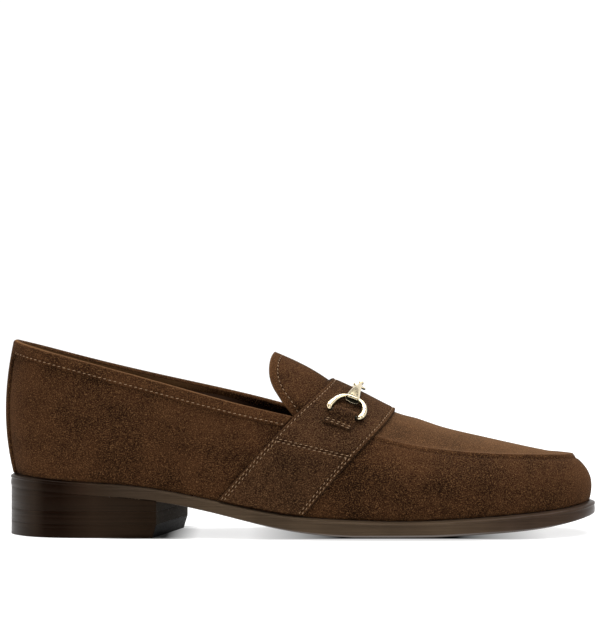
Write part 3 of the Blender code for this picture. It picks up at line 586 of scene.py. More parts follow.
def lift(name, high, low, lean, looks):
    """One layer of the heel, its edges a little rounded and its inner joints pressed in as fine grooves."""
    stations = [(LIFT_EDGE, 0.0), (0.3 * LIFT_EDGE, 0.3 * LIFT_EDGE), (0.0, LIFT_EDGE)]
    rings = [(inset, high - drop) for inset, drop in stations]
    for line in LAYER_LINES[name]:
        for offset, depth in ((LAYER_HALF, 0.0), (0.0, LAYER_GROOVE), (-LAYER_HALF, 0.0)):
            rings.append((depth, np.full(len(LIFT_PLAN), line + offset)))
    rings += [(inset, low + drop) for inset, drop in reversed(stations)]
    grid = []
    for inset, height in rings:
        plan = LIFT_PLAN + LIFT_INWARDS * inset
        leaning = lean * BREAST_SHARE ** BEVEL_POWER * (high - height) / (high - low)
        grid.append(np.column_stack((plan[:, 0] - leaning, plan[:, 1], height)))
    points = np.stack(grid, axis=1)
    faces = grid_faces(*points.shape[:2], closed=True)
    count = len(rings)
    faces.append([k * count for k in range(len(LIFT_PLAN))])
    faces.append([k * count + count - 1 for k in range(len(LIFT_PLAN))])
    sides = [1 if k >= BREAST_START else 0 for k in range(len(LIFT_PLAN))]
    choose = [side for side in sides for _ in range(count - 1)] + [0, len(looks) - 1]
    made = piece(name + "_trimmed", points, faces, looks, choose)
    for face in made.data.polygons[-2:]:
        face.use_smooth = False
    return made


def raw_breast(name):
    """Cut front of the lifts: dyed but not polished, with pale specks of fibre."""
    look, tree, shader = new_look(name)
    fibre = noise(tree, scale=700.0, detail=4.0, stretch=(1.0, 1.0, 1.6), roughness=0.7)
    specks = remap(tree, fibre, (0.58, 0.74))
    set_inputs(
        tree, shader,
        Base_Color=mix_colours(tree, specks, (0.0185, 0.0130, 0.0085), (0.080, 0.066, 0.052)),
        Roughness=0.85,
        Specular_IOR_Level=0.08,
        Normal=bump(tree, fibre, strength=0.4, distance=0.25 * MM),
    )
    return look


def hard_rubber(name):
    look, tree, shader = new_look(name)
    grain = noise(tree, scale=900.0, detail=3.0)
    set_inputs(
        tree, shader,
        Base_Color=mix_colours(tree, grain, (0.0035, 0.0028, 0.0024), (0.0090, 0.0074, 0.0062)),
        Roughness=remap(tree, grain, (0.3, 0.7), (0.6, 0.8)),
        Specular_IOR_Level=0.10,
        Normal=bump(tree, grain, strength=0.25, distance=0.1 * MM),
    )
    return look


heel_look = waxed_edge("heel_wax", HEEL_STAIN_AND_REFLECTION)
breast_look = raw_breast("heel_breast")
rubber_look = hard_rubber("top_piece_rubber")
under_seat = sole_bottom(LIFT_PLAN[:, 0], LIFT_PLAN[:, 1]) - JOINT
level = np.ones(len(LIFT_PLAN))
lift_looks = [heel_look, breast_look]
for name, high, low, lean, looks, slot in (
    ("heel_lift_upper", under_seat, LIFT_LINE, 0.0, lift_looks, "sole_leather"),
    ("heel_lift_lower", LIFT_LINE - JOINT, TOP_PIECE_HEIGHT, 0.0, lift_looks, "sole_leather"),
    ("top_piece", TOP_PIECE_HEIGHT - JOINT, 0.0, BREAST_BEVEL, [heel_look, rubber_look], "rubber"),
):
    dress(lift(name, high * level, low * level, lean, looks), name)

# Insole
# A leather sock stuck over a firm footbed that is thick at the heel and thin at the ball.
# It lies loose-edged inside the upper, on the outsole, and shows only through the collar.
INSOLE_HEEL = 0.0120
INSOLE_BALL = 0.0030
INSOLE_RISE = (62.0, 8.0)  # percent of LENGTH where it starts to thicken and where it is thickest
SOCK_CLEAR = 3 * GAP
WALL = 0.0022  # suede with its lining
SEAM_RISE = 0.0008
SEAM_WAY = (0.6, 0.8)  # outward and upward part of the seam's rise
SEAM_PAST = 0.3  # the seam runs this many rows past the strap's front edge
SEAM_FADE = 0.5  # and fades over this many
# Colour of the lining and of the sock from the heel forward: x in metres, colour. The lining's fall from
# pale to dark is painted shade inside the shoe.
LINING_STAIN_AND_SHADE = ((-0.070, (0.120, 0.064, 0.0380)), (-0.022, (0.022, 0.0108, 0.0058)))
SOCK_STAIN = ((-0.100, (0.046, 0.0245, 0.0145)), (0.020, (0.032, 0.0168, 0.0098)))
SEAM_POWER = 14
NORMAL_STEP = 0.02  # normals are taken over this part of a row or share
NORMAL_TOP = 0.96
UP = np.array((0.0, 0.0, 1.0))


def top(row):
    """Apron seam and, behind the strap, the collar."""
    return LOOP(np.mod(row, TURN))[..., 2:5]


def from_toe(row):
    """Rows from the toe tip, counted alike on both sides."""
    return np.minimum(np.mod(row, TURN), TURN - np.mod(row, TURN))


def seam_lift(row):
    """The apron seam stands up from the toe to just under the strap's front edge."""
    fade = smooth((ROW["strap_front"] + SEAM_PAST - from_toe(row)) / SEAM_FADE)
    return SEAM_RISE * fade[..., None] * (SEAM_WAY[0] * outward(row) + SEAM_WAY[1] * UP)


def wall(row, share):
    """Outer face of the upper's wall, share 0 at the feather line and 1 at the apron seam or collar."""
    row, share = np.broadcast_arrays(np.asarray(row, float), np.asarray(share, float))
    low = foot(row)
    high = top(row)
    section = LOOP(np.mod(row, TURN))
    bow = section[..., FLARE] * share * (1 - share) ** 2 + section[..., TUCK] * share ** 2 * (1 - share)
    bow = bow * (high[..., 2] - low[..., 2])
    point = low + (high - low) * share[..., None] + outward(row) * bow[..., None]
    return point + seam_lift(row) * share[..., None] ** SEAM_POWER


def wall_normal(row, share):
    share = np.clip(share, NORMAL_STEP, NORMAL_TOP)
    one = wall(row + NORMAL_STEP, share) - wall(row - NORMAL_STEP, share)
    two = wall(row, share + NORMAL_STEP) - wall(row, share - NORMAL_STEP)
    normal = unit(np.cross(one, two))
    facing = np.sum(normal * outward(np.broadcast_to(row, normal.shape[:-1])), axis=-1, keepdims=True)
    return normal * np.where(facing > 0, 1.0, -1.0)


def insole_thickness(x):
    ball, heel = along(INSOLE_RISE)
    share = smooth((ball - x) / (ball - heel))
    return INSOLE_BALL + (INSOLE_HEEL - INSOLE_BALL) * share


def insole_edge(row, raised):
    """Edge of the footbed, just inside the upper's wall."""
    low = foot(row)
    height = insole_thickness(low[..., 0]) * raised
    share = height / (top(row)[..., 2] - low[..., 2])
    inset = wall(row, share) - wall_normal(row, share) * (WALL + SOCK_CLEAR)
    return np.stack((inset[..., 0], inset[..., 1], sole_top(inset[..., 0]) + GAP + height), axis=-1)


def slab(over, under):
    """Points and faces of a closed piece between two grids of the same size."""
    rows, columns = over.shape[:2]
    count = rows * columns
    points = np.concatenate((over.reshape(-1, 3), under.reshape(-1, 3)))
    numbers = np.arange(count).reshape(rows, columns)
    rim = np.concatenate((numbers[0], numbers[1:, -1], numbers[-1, -2::-1], numbers[-2:0:-1, 0]))
    after = np.roll(rim, -1)
    sides = np.stack((rim, after, after + count, rim + count), axis=-1).tolist()
    return points, grid_faces(rows, columns) + grid_faces(rows, columns, start=count) + sides


def grained_leather(name, stops):
    """Smooth lining leather with a fine pebbled grain, coloured by place along the shoe."""
    look, tree, shader = new_look(name)
    cells = add_node(tree, "ShaderNodeTexVoronoi", Vector=own_place(tree), Scale=1100.0)
    pebbles = cells.outputs["Distance"]
    cloud = noise(tree, scale=45.0, detail=3.0)
    set_inputs(
        tree, shader,
        Base_Color=varied(tree, stain(tree, stops), remap(tree, cloud, (0.3, 0.7), (0.86, 1.14))),
        Roughness=remap(tree, cloud, (0.3, 0.7), (0.60, 0.75)),
        Specular_IOR_Level=0.06,
        Normal=bump(tree, pebbles, strength=0.25, distance=0.15 * MM),
    )
    return look


lining_look = grained_leather("lining_leather", LINING_STAIN_AND_SHADE)
sock_look = grained_leather("sock_leather", SOCK_STAIN)
sock_over = across_grid(
    lambda row: insole_edge(row, 1.0), lambda x, y: sole_top(x) + GAP + insole_thickness(x))
sock_under = across_grid(lambda row: insole_edge(row, 0.0), lambda x, y: sole_top(x) + GAP)
insole = piece("insole_sock", *slab(sock_over, sock_under), [sock_look])
dress(insole, "insole")

# Upper
# Brown calf suede over a thin leather lining, lasted over the toe and held under the insole.
# Vamp wall and apron meet in a raised seam without visible thread; the quarters run back to the heel.
STRAP_FRONT = ROW["strap_front"]
STRAP_REAR = ROW["strap_rear"]
THROAT = ROW["strap_mid"] + 11 / 16  # the apron ends here, under the strap
COLLAR_DROP = 1.6 * MM  # the wall stops this far under the rolled collar
COLLAR_FADE = 0.2  # and gets there over this many rows
# Ridge of the apron along the middle: percent of LENGTH, percent of INSTEP_HEIGHT
RIDGE = {
    "toe_corner": (96.0, 51.2),
    "toe_side": (91.3, 54.3),
    "forefoot": (85.0, 59.6),
    "ball_front": (79.3, 64.6),
    "ball": (73.8, 69.9),
    "vamp": (69.6, 75.4),
    "strap_front": (65.9, 79.6),
    "strap_mid": (60.5, 90.0),
    "strap_rear": (55.1, 99.8),
}
RIDGE_CURVE = curve(
    [ROW[name] for name in RIDGE],
    [(along(x), INSTEP_HEIGHT * z / 100) for x, z in RIDGE.values()],
)
TOE_SPREAD = 6  # how fast the toe's seam line dies out over the apron
WALL_STEPS = 1 - (1 - np.linspace(0, 1, 57)) ** 1.6
SEAM_CREASE = 0.45 * MM  # thin trough under the raised apron seam
CREASE_BELOW = 1.7 * MM  # its distance from the seam, and its half width
CREASE_HALF = 0.6 * MM
RIDGE_HALF = 0.7 * MM  # painted highlight along the seam's ridge
# Soft creases of the wall: row and share of both ends, half width and depth in mm, a ridge if below 0
CREASES = (
    (5.9, 0.30, 5.5, 0.80, 5.0, 0.35),
    (5.3, 0.20, 4.8, 0.70, 6.0, -0.30),
    (4.2, 0.15, 3.9, 0.75, 7.0, 0.30),
    (2.6, 0.20, 2.4, 0.80, 7.0, 0.25),
    (10.4, 0.25, 10.1, 0.85, 7.0, 0.45),
    (11.4, 0.20, 11.0, 0.85, 8.0, -0.45),
    (12.6, 0.10, 12.4, 0.80, 6.0, 0.35),
    (24.5, 0.30, 24.9, 0.80, 6.0, 0.35),
    (19.6, 0.25, 19.9, 0.85, 7.0, 0.45),
    (18.4, 0.10, 18.6, 0.80, 7.0, -0.40),
)
CREASE_REACH = 0.35  # a crease reaches past both ends by this share of its length
CREASE_FADE = 0.5
ROW_MM = 22.0  # one row of the wall is about this long
SHARE_MM = 38.0  # and the wall about this high
HEEL_BACK = 2.5  # percent of LENGTH; all the faces behind it look back
NAP_MIDDLE = 0.5
APRON_SHEEN = 0.36  # the apron's nap is brushed up and shines when seen along it
WORN_AND_LIT = (0.95, 1.75)  # nap shades between these turn more and more to the pale tips: worn nap, and for most such high shades painted highlights
REAR_PALER = 0.15  # the nap behind the vamp is made a little paler than the vamp's
REAR_FROM = 20.0  # behind this place, full after REAR_OVER, in millimetres
REAR_OVER = 50.0
# Lighter (above 0) and darker patches of the nap: x and z in millimetres, radius, amount
NAP_PATCHES = (
    (-128, 36, 14, 0.06),
    (-122, 66, 16, 0.05),
    (-104, 76, 18, -0.14),
    (-96, 40, 14, 0.05),
    (-80, 42, 15, -0.15),
    (-62, 58, 14, 0.08),
    (-48, 52, 15, 0.16),
    (-52, 38, 10, 0.10),
    (-30, 40, 12, -0.06),
    (30, 36, 14, -0.06),
    (46, 40, 12, 0.06),
    (64, 17, 12, 0.14),
    (72, 34, 16, -0.05),
    (100, 38, 13, 0.10),
    (104, 20, 12, -0.08),
    # the strong pale patch at the toe is a painted highlight
    (135, 27, 13, 0.46),
    (60, 52, 22, 0.16),
    (100, 44, 14, 0.06),
)
MEDIAL_PATCHES = 16.0  # on the medial side they lie this much further forward
# Shades added to the nap, and where; most of them are painted light and shade
# painted shade in the seam's trough, painted highlight on its ridge
SEAM_TROUGH_PAINTED_SHADE = 0.14
SEAM_RIDGE_PAINTED_LIGHT = 0.20
FOOT_PAINTED_SHADE = 0.12  # painted shade along the feather line, fading over FOOT_SHARE of the wall
FOOT_SHARE = 0.05
FOOT_FREE = 0.06  # creases fade out below this share of the wall
SADDLE_PAINTED_SHADOW = 0.40  # painted shadow beside the saddle's edges, fading over SADDLE_MM
SADDLE_MM = 0.9
APRON_DARKER = 0.06
# painted highlight on the apron's rim along the seam
APRON_RIM_PAINTED_LIGHT = 0.10
APRON_RIM_POWER = 20
TOE_PAINTED_LIGHT = 0.24  # painted highlight on the apron forward of TOE_FROM, full after TOE_OVER
TOE_FROM = 54 * MM
TOE_OVER = 18 * MM
# Shares of the nap's shade that come from clouds, blots and fibres
NAP_LAYERS = (1.4, 0.50, 4.6)
SUEDE_BROWN = ((0.0085, 0.0034, 0.0013), (0.055, 0.0232, 0.0092), (0.165, 0.086, 0.036))


def slant(row):
    """Height of the wall along its slope."""
    return np.linalg.norm(top(row) - foot(row), axis=-1)


def hill(distance, middle, half):
    """Bell-shaped rise to 1 around the middle."""
    return np.exp(-((distance - middle) / half) ** 2)


def apron(row, across):
    """Outer face of the apron: row from the toe, across 0 at the lateral seam and 1 at the medial seam."""
    row, across = np.broadcast_arrays(np.asarray(row, float), np.asarray(across, float))
    lateral = top(row)
    medial = top(-row)
    lateral_corner = top(np.array(FRONT))
    medial_corner = top(np.array(-FRONT))
    fade = np.maximum(0.0, (STRAP_REAR - row) / (STRAP_REAR - FRONT))[..., None] ** ROUND_POWER
    share = across[..., None]
    toe_bow = top(FRONT * (1 - 2 * across)) - lateral_corner - (medial_corner - lateral_corner) * share
    middle = (lateral + medial) / 2 + fade * (top(np.array(0.0)) - (lateral_corner + medial_corner) / 2)
    ridge = RIDGE_CURVE(row)
    rise = np.stack((ridge[..., 0] - middle[..., 0], 0 * row, ridge[..., 1] - middle[..., 2]), axis=-1)
    edge = np.abs(2 * share - 1)
    point = lateral + (medial - lateral) * share + fade * toe_bow + rise * (1 - edge ** 2)
    toe_share = np.exp(-TOE_SPREAD * (row - FRONT))[..., None]
    sides = (1 - share) * seam_lift(row) + share * seam_lift(-row)
    seam = (1 - toe_share) * sides + toe_share * seam_lift(FRONT * (1 - 2 * across))
    return point + seam * (1 - (1 - edge ** SEAM_POWER) * (1 - toe_share))


def apron_normal(row, across):
    one = apron(row + NORMAL_STEP, across) - apron(row - NORMAL_STEP, across)
    two = apron(row, across + NORMAL_STEP) - apron(row, across - NORMAL_STEP)
    normal = unit(np.cross(one, two))
    return normal * np.where(normal[..., 2:] > 0, 1.0, -1.0)


def crease_depth(row, share):
    """How far the listed creases press the wall in, in metres."""
    depth = np.zeros(np.broadcast(row, share).shape)
    for row_a, share_a, row_b, share_b, half, deep in CREASES:
        way = np.array(((row_b - row_a) * ROW_MM, (share_b - share_a) * SHARE_MM))
        ahead, up = (row - row_a) * ROW_MM, (share - share_a) * SHARE_MM
        place = (ahead * way[0] + up * way[1]) / (way @ way)
        aside = (ahead * way[1] - up * way[0]) / np.linalg.norm(way)
        past_ends = np.minimum(place, 1 - place) + CREASE_REACH
        depth = depth + deep * MM * hill(aside, 0.0, half) * smooth(past_ends / CREASE_FADE)
    return depth


def nap_shade(points):
    """Listed lighter and darker patches of the suede."""
    x = points[..., 0] / MM - np.where(points[..., 1] > 0, MEDIAL_PATCHES, 0.0)
    z = points[..., 2] / MM
    shade = NAP_MIDDLE + REAR_PALER * smooth((REAR_FROM - x) / REAR_OVER)
    for patch_x, patch_z, radius, amount in NAP_PATCHES:
        shade = shade + amount * np.exp(-((x - patch_x) ** 2 + (z - patch_z) ** 2) / radius ** 2)
    return shade


def beside_strap(row):
    """1 along the saddle's front and rear edges, fading beside them."""
    rows = from_toe(row)
    near = np.minimum(np.abs(rows - STRAP_FRONT), np.abs(rows - STRAP_REAR)) * ROW_MM
    return hill(near, 0.0, SADDLE_MM)


def rim_share(row):
    """Top of the wall: the apron seam, and behind the strap just under the rolled collar."""
    return 1 - COLLAR_DROP / slant(row) * smooth((from_toe(row) - THROAT) / COLLAR_FADE)


def suede(name, dark, light, tip, sheen=0.03):
    """Brushed suede: cloudy nap, fine fibres with paler tips, painted light and shade from the nap
    attribute, and a sheen where it is seen along the nap.
    """
    look, tree, shader = new_look(name)
    patch = add_node(tree, "ShaderNodeAttribute", {"attribute_name": "nap"}).outputs["Fac"]
    cloud = noise(tree, scale=60.0, detail=3.0)
    blot = noise(tree, scale=240.0, detail=4.0, stretch=(0.8, 1.0, 1.2), roughness=0.62)
    fibre = noise(tree, scale=2100.0, detail=3.0, stretch=(0.8, 1.0, 1.0), roughness=0.75)
    shade = weighted(tree, (patch, 1.0), *zip((cloud, blot, fibre), NAP_LAYERS))
    darkest = sum(NAP_LAYERS) / 2
    ground = mix_colours(tree, remap(tree, shade, (darkest, darkest + 1)), dark, light)
    tips = calculate(tree, "ADD", remap(tree, fibre, (0.545, 0.70)), remap(tree, patch, WORN_AND_LIT))
    height = weighted(tree, (fibre, 0.7), (blot, 0.5))
    set_inputs(
        tree, shader,
        Base_Color=mix_colours(tree, tips, ground, tip),
        Roughness=0.95,
        Specular_IOR_Level=0.03,
        Sheen_Weight=sheen,
        Sheen_Roughness=0.45,
        Sheen_Tint=(0.62, 0.36, 0.19),
        Normal=bump(tree, height, strength=0.55, distance=0.35 * MM),
    )
    return look


suede_look = suede("suede_brown", *SUEDE_BROWN)
apron_look = suede("suede_apron", *SUEDE_BROWN, sheen=APRON_SHEEN)
wall_share = WALL_STEPS[None, :] * rim_share(ROUND_ROWS)[:, None]
wall_row = ROUND_ROWS[:, None]
wall_points = wall(wall_row, wall_share)
from_seam = (1 - wall_share) * slant(wall_row)
seam_fade = np.linalg.norm(seam_lift(wall_row), axis=-1) / SEAM_RISE
under_seam = hill(from_seam, CREASE_BELOW, CREASE_HALF) * seam_fade
pressed = crease_depth(np.mod(wall_row, TURN), wall_share) + SEAM_CREASE * under_seam
pressed = pressed * smooth(wall_share / FOOT_FREE)
wall_points = wall_points - wall_normal(wall_row, wall_share) * pressed[..., None]
on_ridge = hill(from_seam, 0.0, RIDGE_HALF) * seam_fade
wall_nap = nap_shade(wall_points) - SEAM_TROUGH_PAINTED_SHADE * under_seam + SEAM_RIDGE_PAINTED_LIGHT * on_ridge
wall_nap = wall_nap - FOOT_PAINTED_SHADE * np.exp(-wall_share / FOOT_SHARE)
wall_nap = wall_nap - SADDLE_PAINTED_SHADOW * beside_strap(wall_row)
apron_row = LATERAL_ROWS[LATERAL_ROWS < THROAT + 0.01][:, None]
apron_points = apron(apron_row, ACROSS[None, :])
apron_rim = np.abs(2 * ACROSS[None, :] - 1) ** APRON_RIM_POWER
apron_nap = nap_shade(apron_points) - APRON_DARKER + APRON_RIM_PAINTED_LIGHT * apron_rim
apron_nap = apron_nap - SADDLE_PAINTED_SHADOW * beside_strap(apron_row)
apron_nap = apron_nap + TOE_PAINTED_LIGHT * smooth((apron_points[..., 0] - TOE_FROM) / TOE_OVER)
upper_parts = (
    (wall_points, grid_faces(*wall_points.shape[:2], closed=True)),
    (apron_points, grid_faces(*apron_points.shape[:2])),
)
upper_nap = np.concatenate((wall_nap.ravel(), apron_nap.ravel()))
upper_choose = np.repeat((0, 1), [len(faces) for _, faces in upper_parts])
upper_looks = [suede_look, apron_look, lining_look]
upper = piece("upper_suede", *joined(*upper_parts), upper_looks, upper_choose, upper_nap)
heel_back = [face for face in upper.data.polygons if face.center.x < along(HEEL_BACK)]
if sum(face.normal.x * face.area for face in heel_back) > 0:
    upper.data.flip_normals()
shell = upper.modifiers.new("thickness", "SOLIDIFY")
shell.thickness = WALL
shell.offset = -1
shell.use_even_offset = True
shell.use_quality_normals = True
shell.material_offset = 2  # its inner face is the lining
dress(upper, "upper")

# Tongue
# One suede tab with a smooth lining, sewn under the strap and rising free over the instep.
# A row of thread runs about 4 mm inside its rounded edge and presses the border up.
TONGUE_THICK = 0.0026
TONGUE_TUCK = 0.0032
# Rear edge from the ridge to the lower corner: share, percent of LENGTH, of BALL_WIDTH, of INSTEP_HEIGHT
TONGUE_EDGE = (
    (0.00, 45.6, 0.0, 119.3),
    (0.30, 45.0, 9.6, 115.0),
    (0.55, 44.8, 16.8, 106.7),
    (0.75, 45.4, 21.6, 97.6),
    (0.90, 46.9, 25.0, 88.0),
    (1.00, 48.6, 26.9, 78.7),
)
TONGUE_TIP = curve([line[0] for line in TONGUE_EDGE], [line[1:] for line in TONGUE_EDGE])
TONGUE_ROOT = ROW["strap_mid"] + 2 / 3 + 0.025  # row of its hidden front edge
TONGUE_INSIDE = (0.80, 0.14)  # from this share of its half width, over that much, it tucks under the collar
TONGUE_AT_STRAP = 0.22  # share of its length where it leaves the strap
TONGUE_SWELL_AT = 0.32  # just behind the strap it swells by TONGUE_SWELL
TONGUE_SWELL = 0.5 * MM
TONGUE_ROUND = 0.55 * MM  # rounding of its outer edge
TONGUE_STITCH = 4.3 * MM
STITCH_PITCH = 2.6 * MM
STITCH_LENGTH = 1.5 * MM
THREAD_RADIUS = 0.16 * MM
THREAD_FLAT = 0.8  # a stitch's height as a share of its width
THREAD_SLANT = 0.16 * MM  # and lies this far askew at both ends
THREAD_DIP = (0.45, 1.2)  # its middle stands up and its ends dip by these shares of its radius
THREAD_TAPER = 0.55
THREAD_RINGS = 7
THREAD_SIDES = 6
GROOVE_DEPTH = 0.35 * MM
GROOVE_HALF = 0.6 * MM
TONGUE_GROOVE = 0.8 * GROOVE_DEPTH
GROOVE_GAP = 0.12  # share of the half width beside the ridge where the groove fades
# Shades added to the tongue's nap, and the width over which they fade: painted highlights on the raised
# border and the rim, painted shade in the stitch groove and painted shadow behind the strap
TONGUE_PALER = 0.08
BORDER_PAINTED_LIGHT = 0.24
BORDER_FADE = 0.8 * MM
GROOVE_PAINTED_SHADE = 0.40
EDGE_PAINTED_LIGHT = 0.35
EDGE_FADE = 0.4 * MM
ROOT_PAINTED_SHADOW = 0.40
ROOT_FADE = 0.8 * MM
TONGUE_ENDS = 6  # grid lines without thread at both ends of the row
TONGUE_RIM = 10  # grid lines from the rear edge over which its direction is taken
TONGUE_CELLS = 72
TONGUE_FREE = 0.84  # the grid's lines lie closer behind this share of its length


def tongue_grid(lengths, across):
    """Tongue from under the strap to its free rear edge."""
    out = np.abs(2 * across - 1)
    inside = smooth((out - TONGUE_INSIDE[0]) / TONGUE_INSIDE[1])[:, None]
    rows = []
    for row in (TONGUE_ROOT, STRAP_REAR):
        rows.append(apron(row, across) - apron_normal(row, across) * TONGUE_TUCK * inside)
    edge = TONGUE_TIP(out)
    middle_y = apron(STRAP_REAR, 0.5)[1]
    y = middle_y + np.sign(across - 0.5) * BALL_WIDTH * edge[:, 1] / 100
    rows.append(np.column_stack((along(edge[:, 0]), y, INSTEP_HEIGHT * edge[:, 2] / 100)))
    behind = (TONGUE_SWELL_AT - TONGUE_AT_STRAP) / (1 - TONGUE_AT_STRAP)
    swell = TONGUE_SWELL * (1 - out ** 2)
    rows.insert(2, rows[1] + (rows[2] - rows[1]) * behind + UP * swell[:, None])
    return curve((0.0, TONGUE_AT_STRAP, TONGUE_SWELL_AT, 1.0), np.stack(rows))(lengths)


def grid_normals(points, away):
    """Unit normals of a grid, turned to the side that away points to."""
    normals = unit(np.cross(np.gradient(points, axis=0), np.gradient(points, axis=1)))
    return normals if np.sum(normals * away) > 0 else -normals


def run(points, axis):
    """Distance along a grid's lines from its first row or column."""
    legs = np.linalg.norm(np.diff(points, axis=axis), axis=-1)
    start = np.zeros_like(np.take(legs, [0], axis=axis))
    return np.concatenate((start, np.cumsum(legs, axis=axis)), axis=axis)


def run_back(points, axis):
    """Distance along a grid's lines to its last row or column."""
    return np.flip(run(np.flip(points, axis), axis), axis)


def rounded(distance, radius):
    """Quarter-round edge: 0 at the edge, 1 from radius inwards."""
    return np.sqrt(1 - (1 - np.clip(distance / radius, 0.0, 1.0)) ** 2)


def groove(distance, place):
    return hill(distance, place, GROOVE_HALF)


def line_on(surface, distance, place):
    """Line across a grid at one distance from its first row, a point for each column."""
    points = []
    for column in range(surface.shape[1]):
        points.append([np.interp(place, distance[:, column], surface[:, column, k]) for k in range(3)])
    return np.array(points)


def sewn_line(surface, normals, distance, place, ends=0):
    """Line for a row of stitches, at one distance from a grid's first row, and the normals along it."""
    sewn = slice(ends, surface.shape[1] - ends)
    return [line_on(grid, distance, place)[sewn] for grid in (surface, normals)]


def tube_faces(rings, sides, closed=False):
    """Faces of a tube whose rings repeat their first point; an open tube gets both ends filled."""
    faces = grid_faces(rings, sides + 1, closed=closed)
    if closed:
        return faces
    last = (rings - 1) * (sides + 1)
    return [list(range(sides))] + faces + [list(range(last, last + sides))]


def stitches(line, normals):
    """A row of slanting thread stitches along a line, each dipping into the suede at both ends."""
    length = run(line[:, None], 0)[:, 0]
    count = max(1, round(length[-1] / STITCH_PITCH))
    centre = (np.arange(count) + 0.5) * length[-1] / count
    way = np.linspace(-1, 1, THREAD_RINGS)
    places = centre[:, None] + way * STITCH_LENGTH / 2
    spot, normal = [
        np.stack([np.interp(places, length, grid[:, k]) for k in range(3)], axis=-1)
        for grid in (line, normals)
    ]
    normal = unit(normal)
    aside = unit(np.cross(normal, unit(np.gradient(spot, axis=1))))
    rise = THREAD_RADIUS * (THREAD_DIP[0] - THREAD_DIP[1] * way ** 4)[None, :, None]
    radius = THREAD_RADIUS * (1 - THREAD_TAPER * way ** 4)
    spot = spot + normal * rise + aside * (THREAD_SLANT * way)[None, :, None]
    angle = 2 * np.pi * np.arange(THREAD_SIDES + 1)[:, None] / THREAD_SIDES
    ring = aside[:, :, None] * np.cos(angle) + normal[:, :, None] * np.sin(angle) * THREAD_FLAT
    tubes = spot[:, :, None] + ring * radius[None, :, None, None]
    faces = tube_faces(THREAD_RINGS, THREAD_SIDES)
    return joined(*[(tube, faces) for tube in tubes])


def twisted_thread(name):
    """Waxed tan sewing thread."""
    look, tree, shader = new_look(name)
    twist = noise(tree, scale=1600.0, detail=2.0)
    set_inputs(
        tree, shader,
        Base_Color=mix_colours(tree, twist, (0.20, 0.120, 0.064), (0.42, 0.280, 0.168)),
        Roughness=0.7,
        Specular_IOR_Level=0.1,
        Normal=bump(tree, twist, strength=0.3, distance=0.1 * MM),
    )
    return look


thread_look = twisted_thread("thread_tan")


def sew(name, rows):
    """All the thread of one piece as one mesh."""
    made = piece(name, *joined(*[stitches(line, normals) for line, normals in rows]), [thread_look])
    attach(made, "root")


def steps_to_edge(share, even, close, power):
    """Shares from 0 to 1: even steps up to the given share, then closer and closer ones."""
    left = (1 - share) * (1 - np.linspace(0, 1, close)[1:]) ** power
    return np.concatenate((np.linspace(0, share, even), 1 - left))


tongue_lengths = steps_to_edge(TONGUE_FREE, 43, 37, 1.8)
tongue_across = steps_across(TONGUE_CELLS)
tongue_face = tongue_grid(tongue_lengths, tongue_across)
tongue_normals = grid_normals(tongue_face, UP)
tongue_rim = unit(np.gradient(tongue_face[-1], axis=0))
tongue_way = unit(tongue_face[-1] - tongue_face[-TONGUE_RIM])
rim_slant = np.linalg.norm(np.cross(tongue_rim, tongue_way), axis=-1)
to_tip = run_back(tongue_face, 0) * rim_slant[None, :]
to_edge = np.minimum(to_tip, np.minimum(run(tongue_face, 1), run_back(tongue_face, 1)))
tongue_groove = groove(to_tip, TONGUE_STITCH) * smooth(np.abs(2 * tongue_across - 1) / GROOVE_GAP)
tongue_lower = TONGUE_THICK - TONGUE_ROUND  # the part of its thickness under the rounded outer edge
tongue_sunk = TONGUE_ROUND * (1 - rounded(to_edge, TONGUE_ROUND)) + TONGUE_GROOVE * tongue_groove
tongue_over = tongue_face - tongue_normals * tongue_sunk[..., None]
tongue_under = tongue_face - tongue_normals * (
    TONGUE_ROUND + tongue_lower * rounded(to_edge, tongue_lower))[..., None]
from_root = run(tongue_face, 0)
strap_edge = np.array([np.interp(TONGUE_AT_STRAP, tongue_lengths, column) for column in from_root.T])
tongue_nap = nap_shade(tongue_face) + TONGUE_PALER - GROOVE_PAINTED_SHADE * tongue_groove
tongue_nap = tongue_nap + BORDER_PAINTED_LIGHT * smooth((TONGUE_STITCH - to_tip) / BORDER_FADE)
tongue_nap = tongue_nap + EDGE_PAINTED_LIGHT * np.exp(-to_edge / EDGE_FADE)
tongue_nap = tongue_nap - ROOT_PAINTED_SHADOW * np.exp(-np.abs(from_root - strap_edge) / ROOT_FADE)
tongue_points, tongue_faces = slab(tongue_over, tongue_under)
tongue_cells = (len(tongue_lengths) - 1) * (len(tongue_across) - 1)
tongue_choose = np.repeat((0, 1, 0), (tongue_cells, tongue_cells, len(tongue_faces) - 2 * tongue_cells))
tongue = piece(
    "tongue_suede", tongue_points, tongue_faces, [suede_look, lining_look], tongue_choose,
    np.tile(tongue_nap.ravel(), 2))
dress(tongue, "tongue")
sew("tongue_thread", [
    sewn_line(tongue_over[::-1], tongue_normals[::-1], to_tip[::-1], TONGUE_STITCH, TONGUE_ENDS),
])

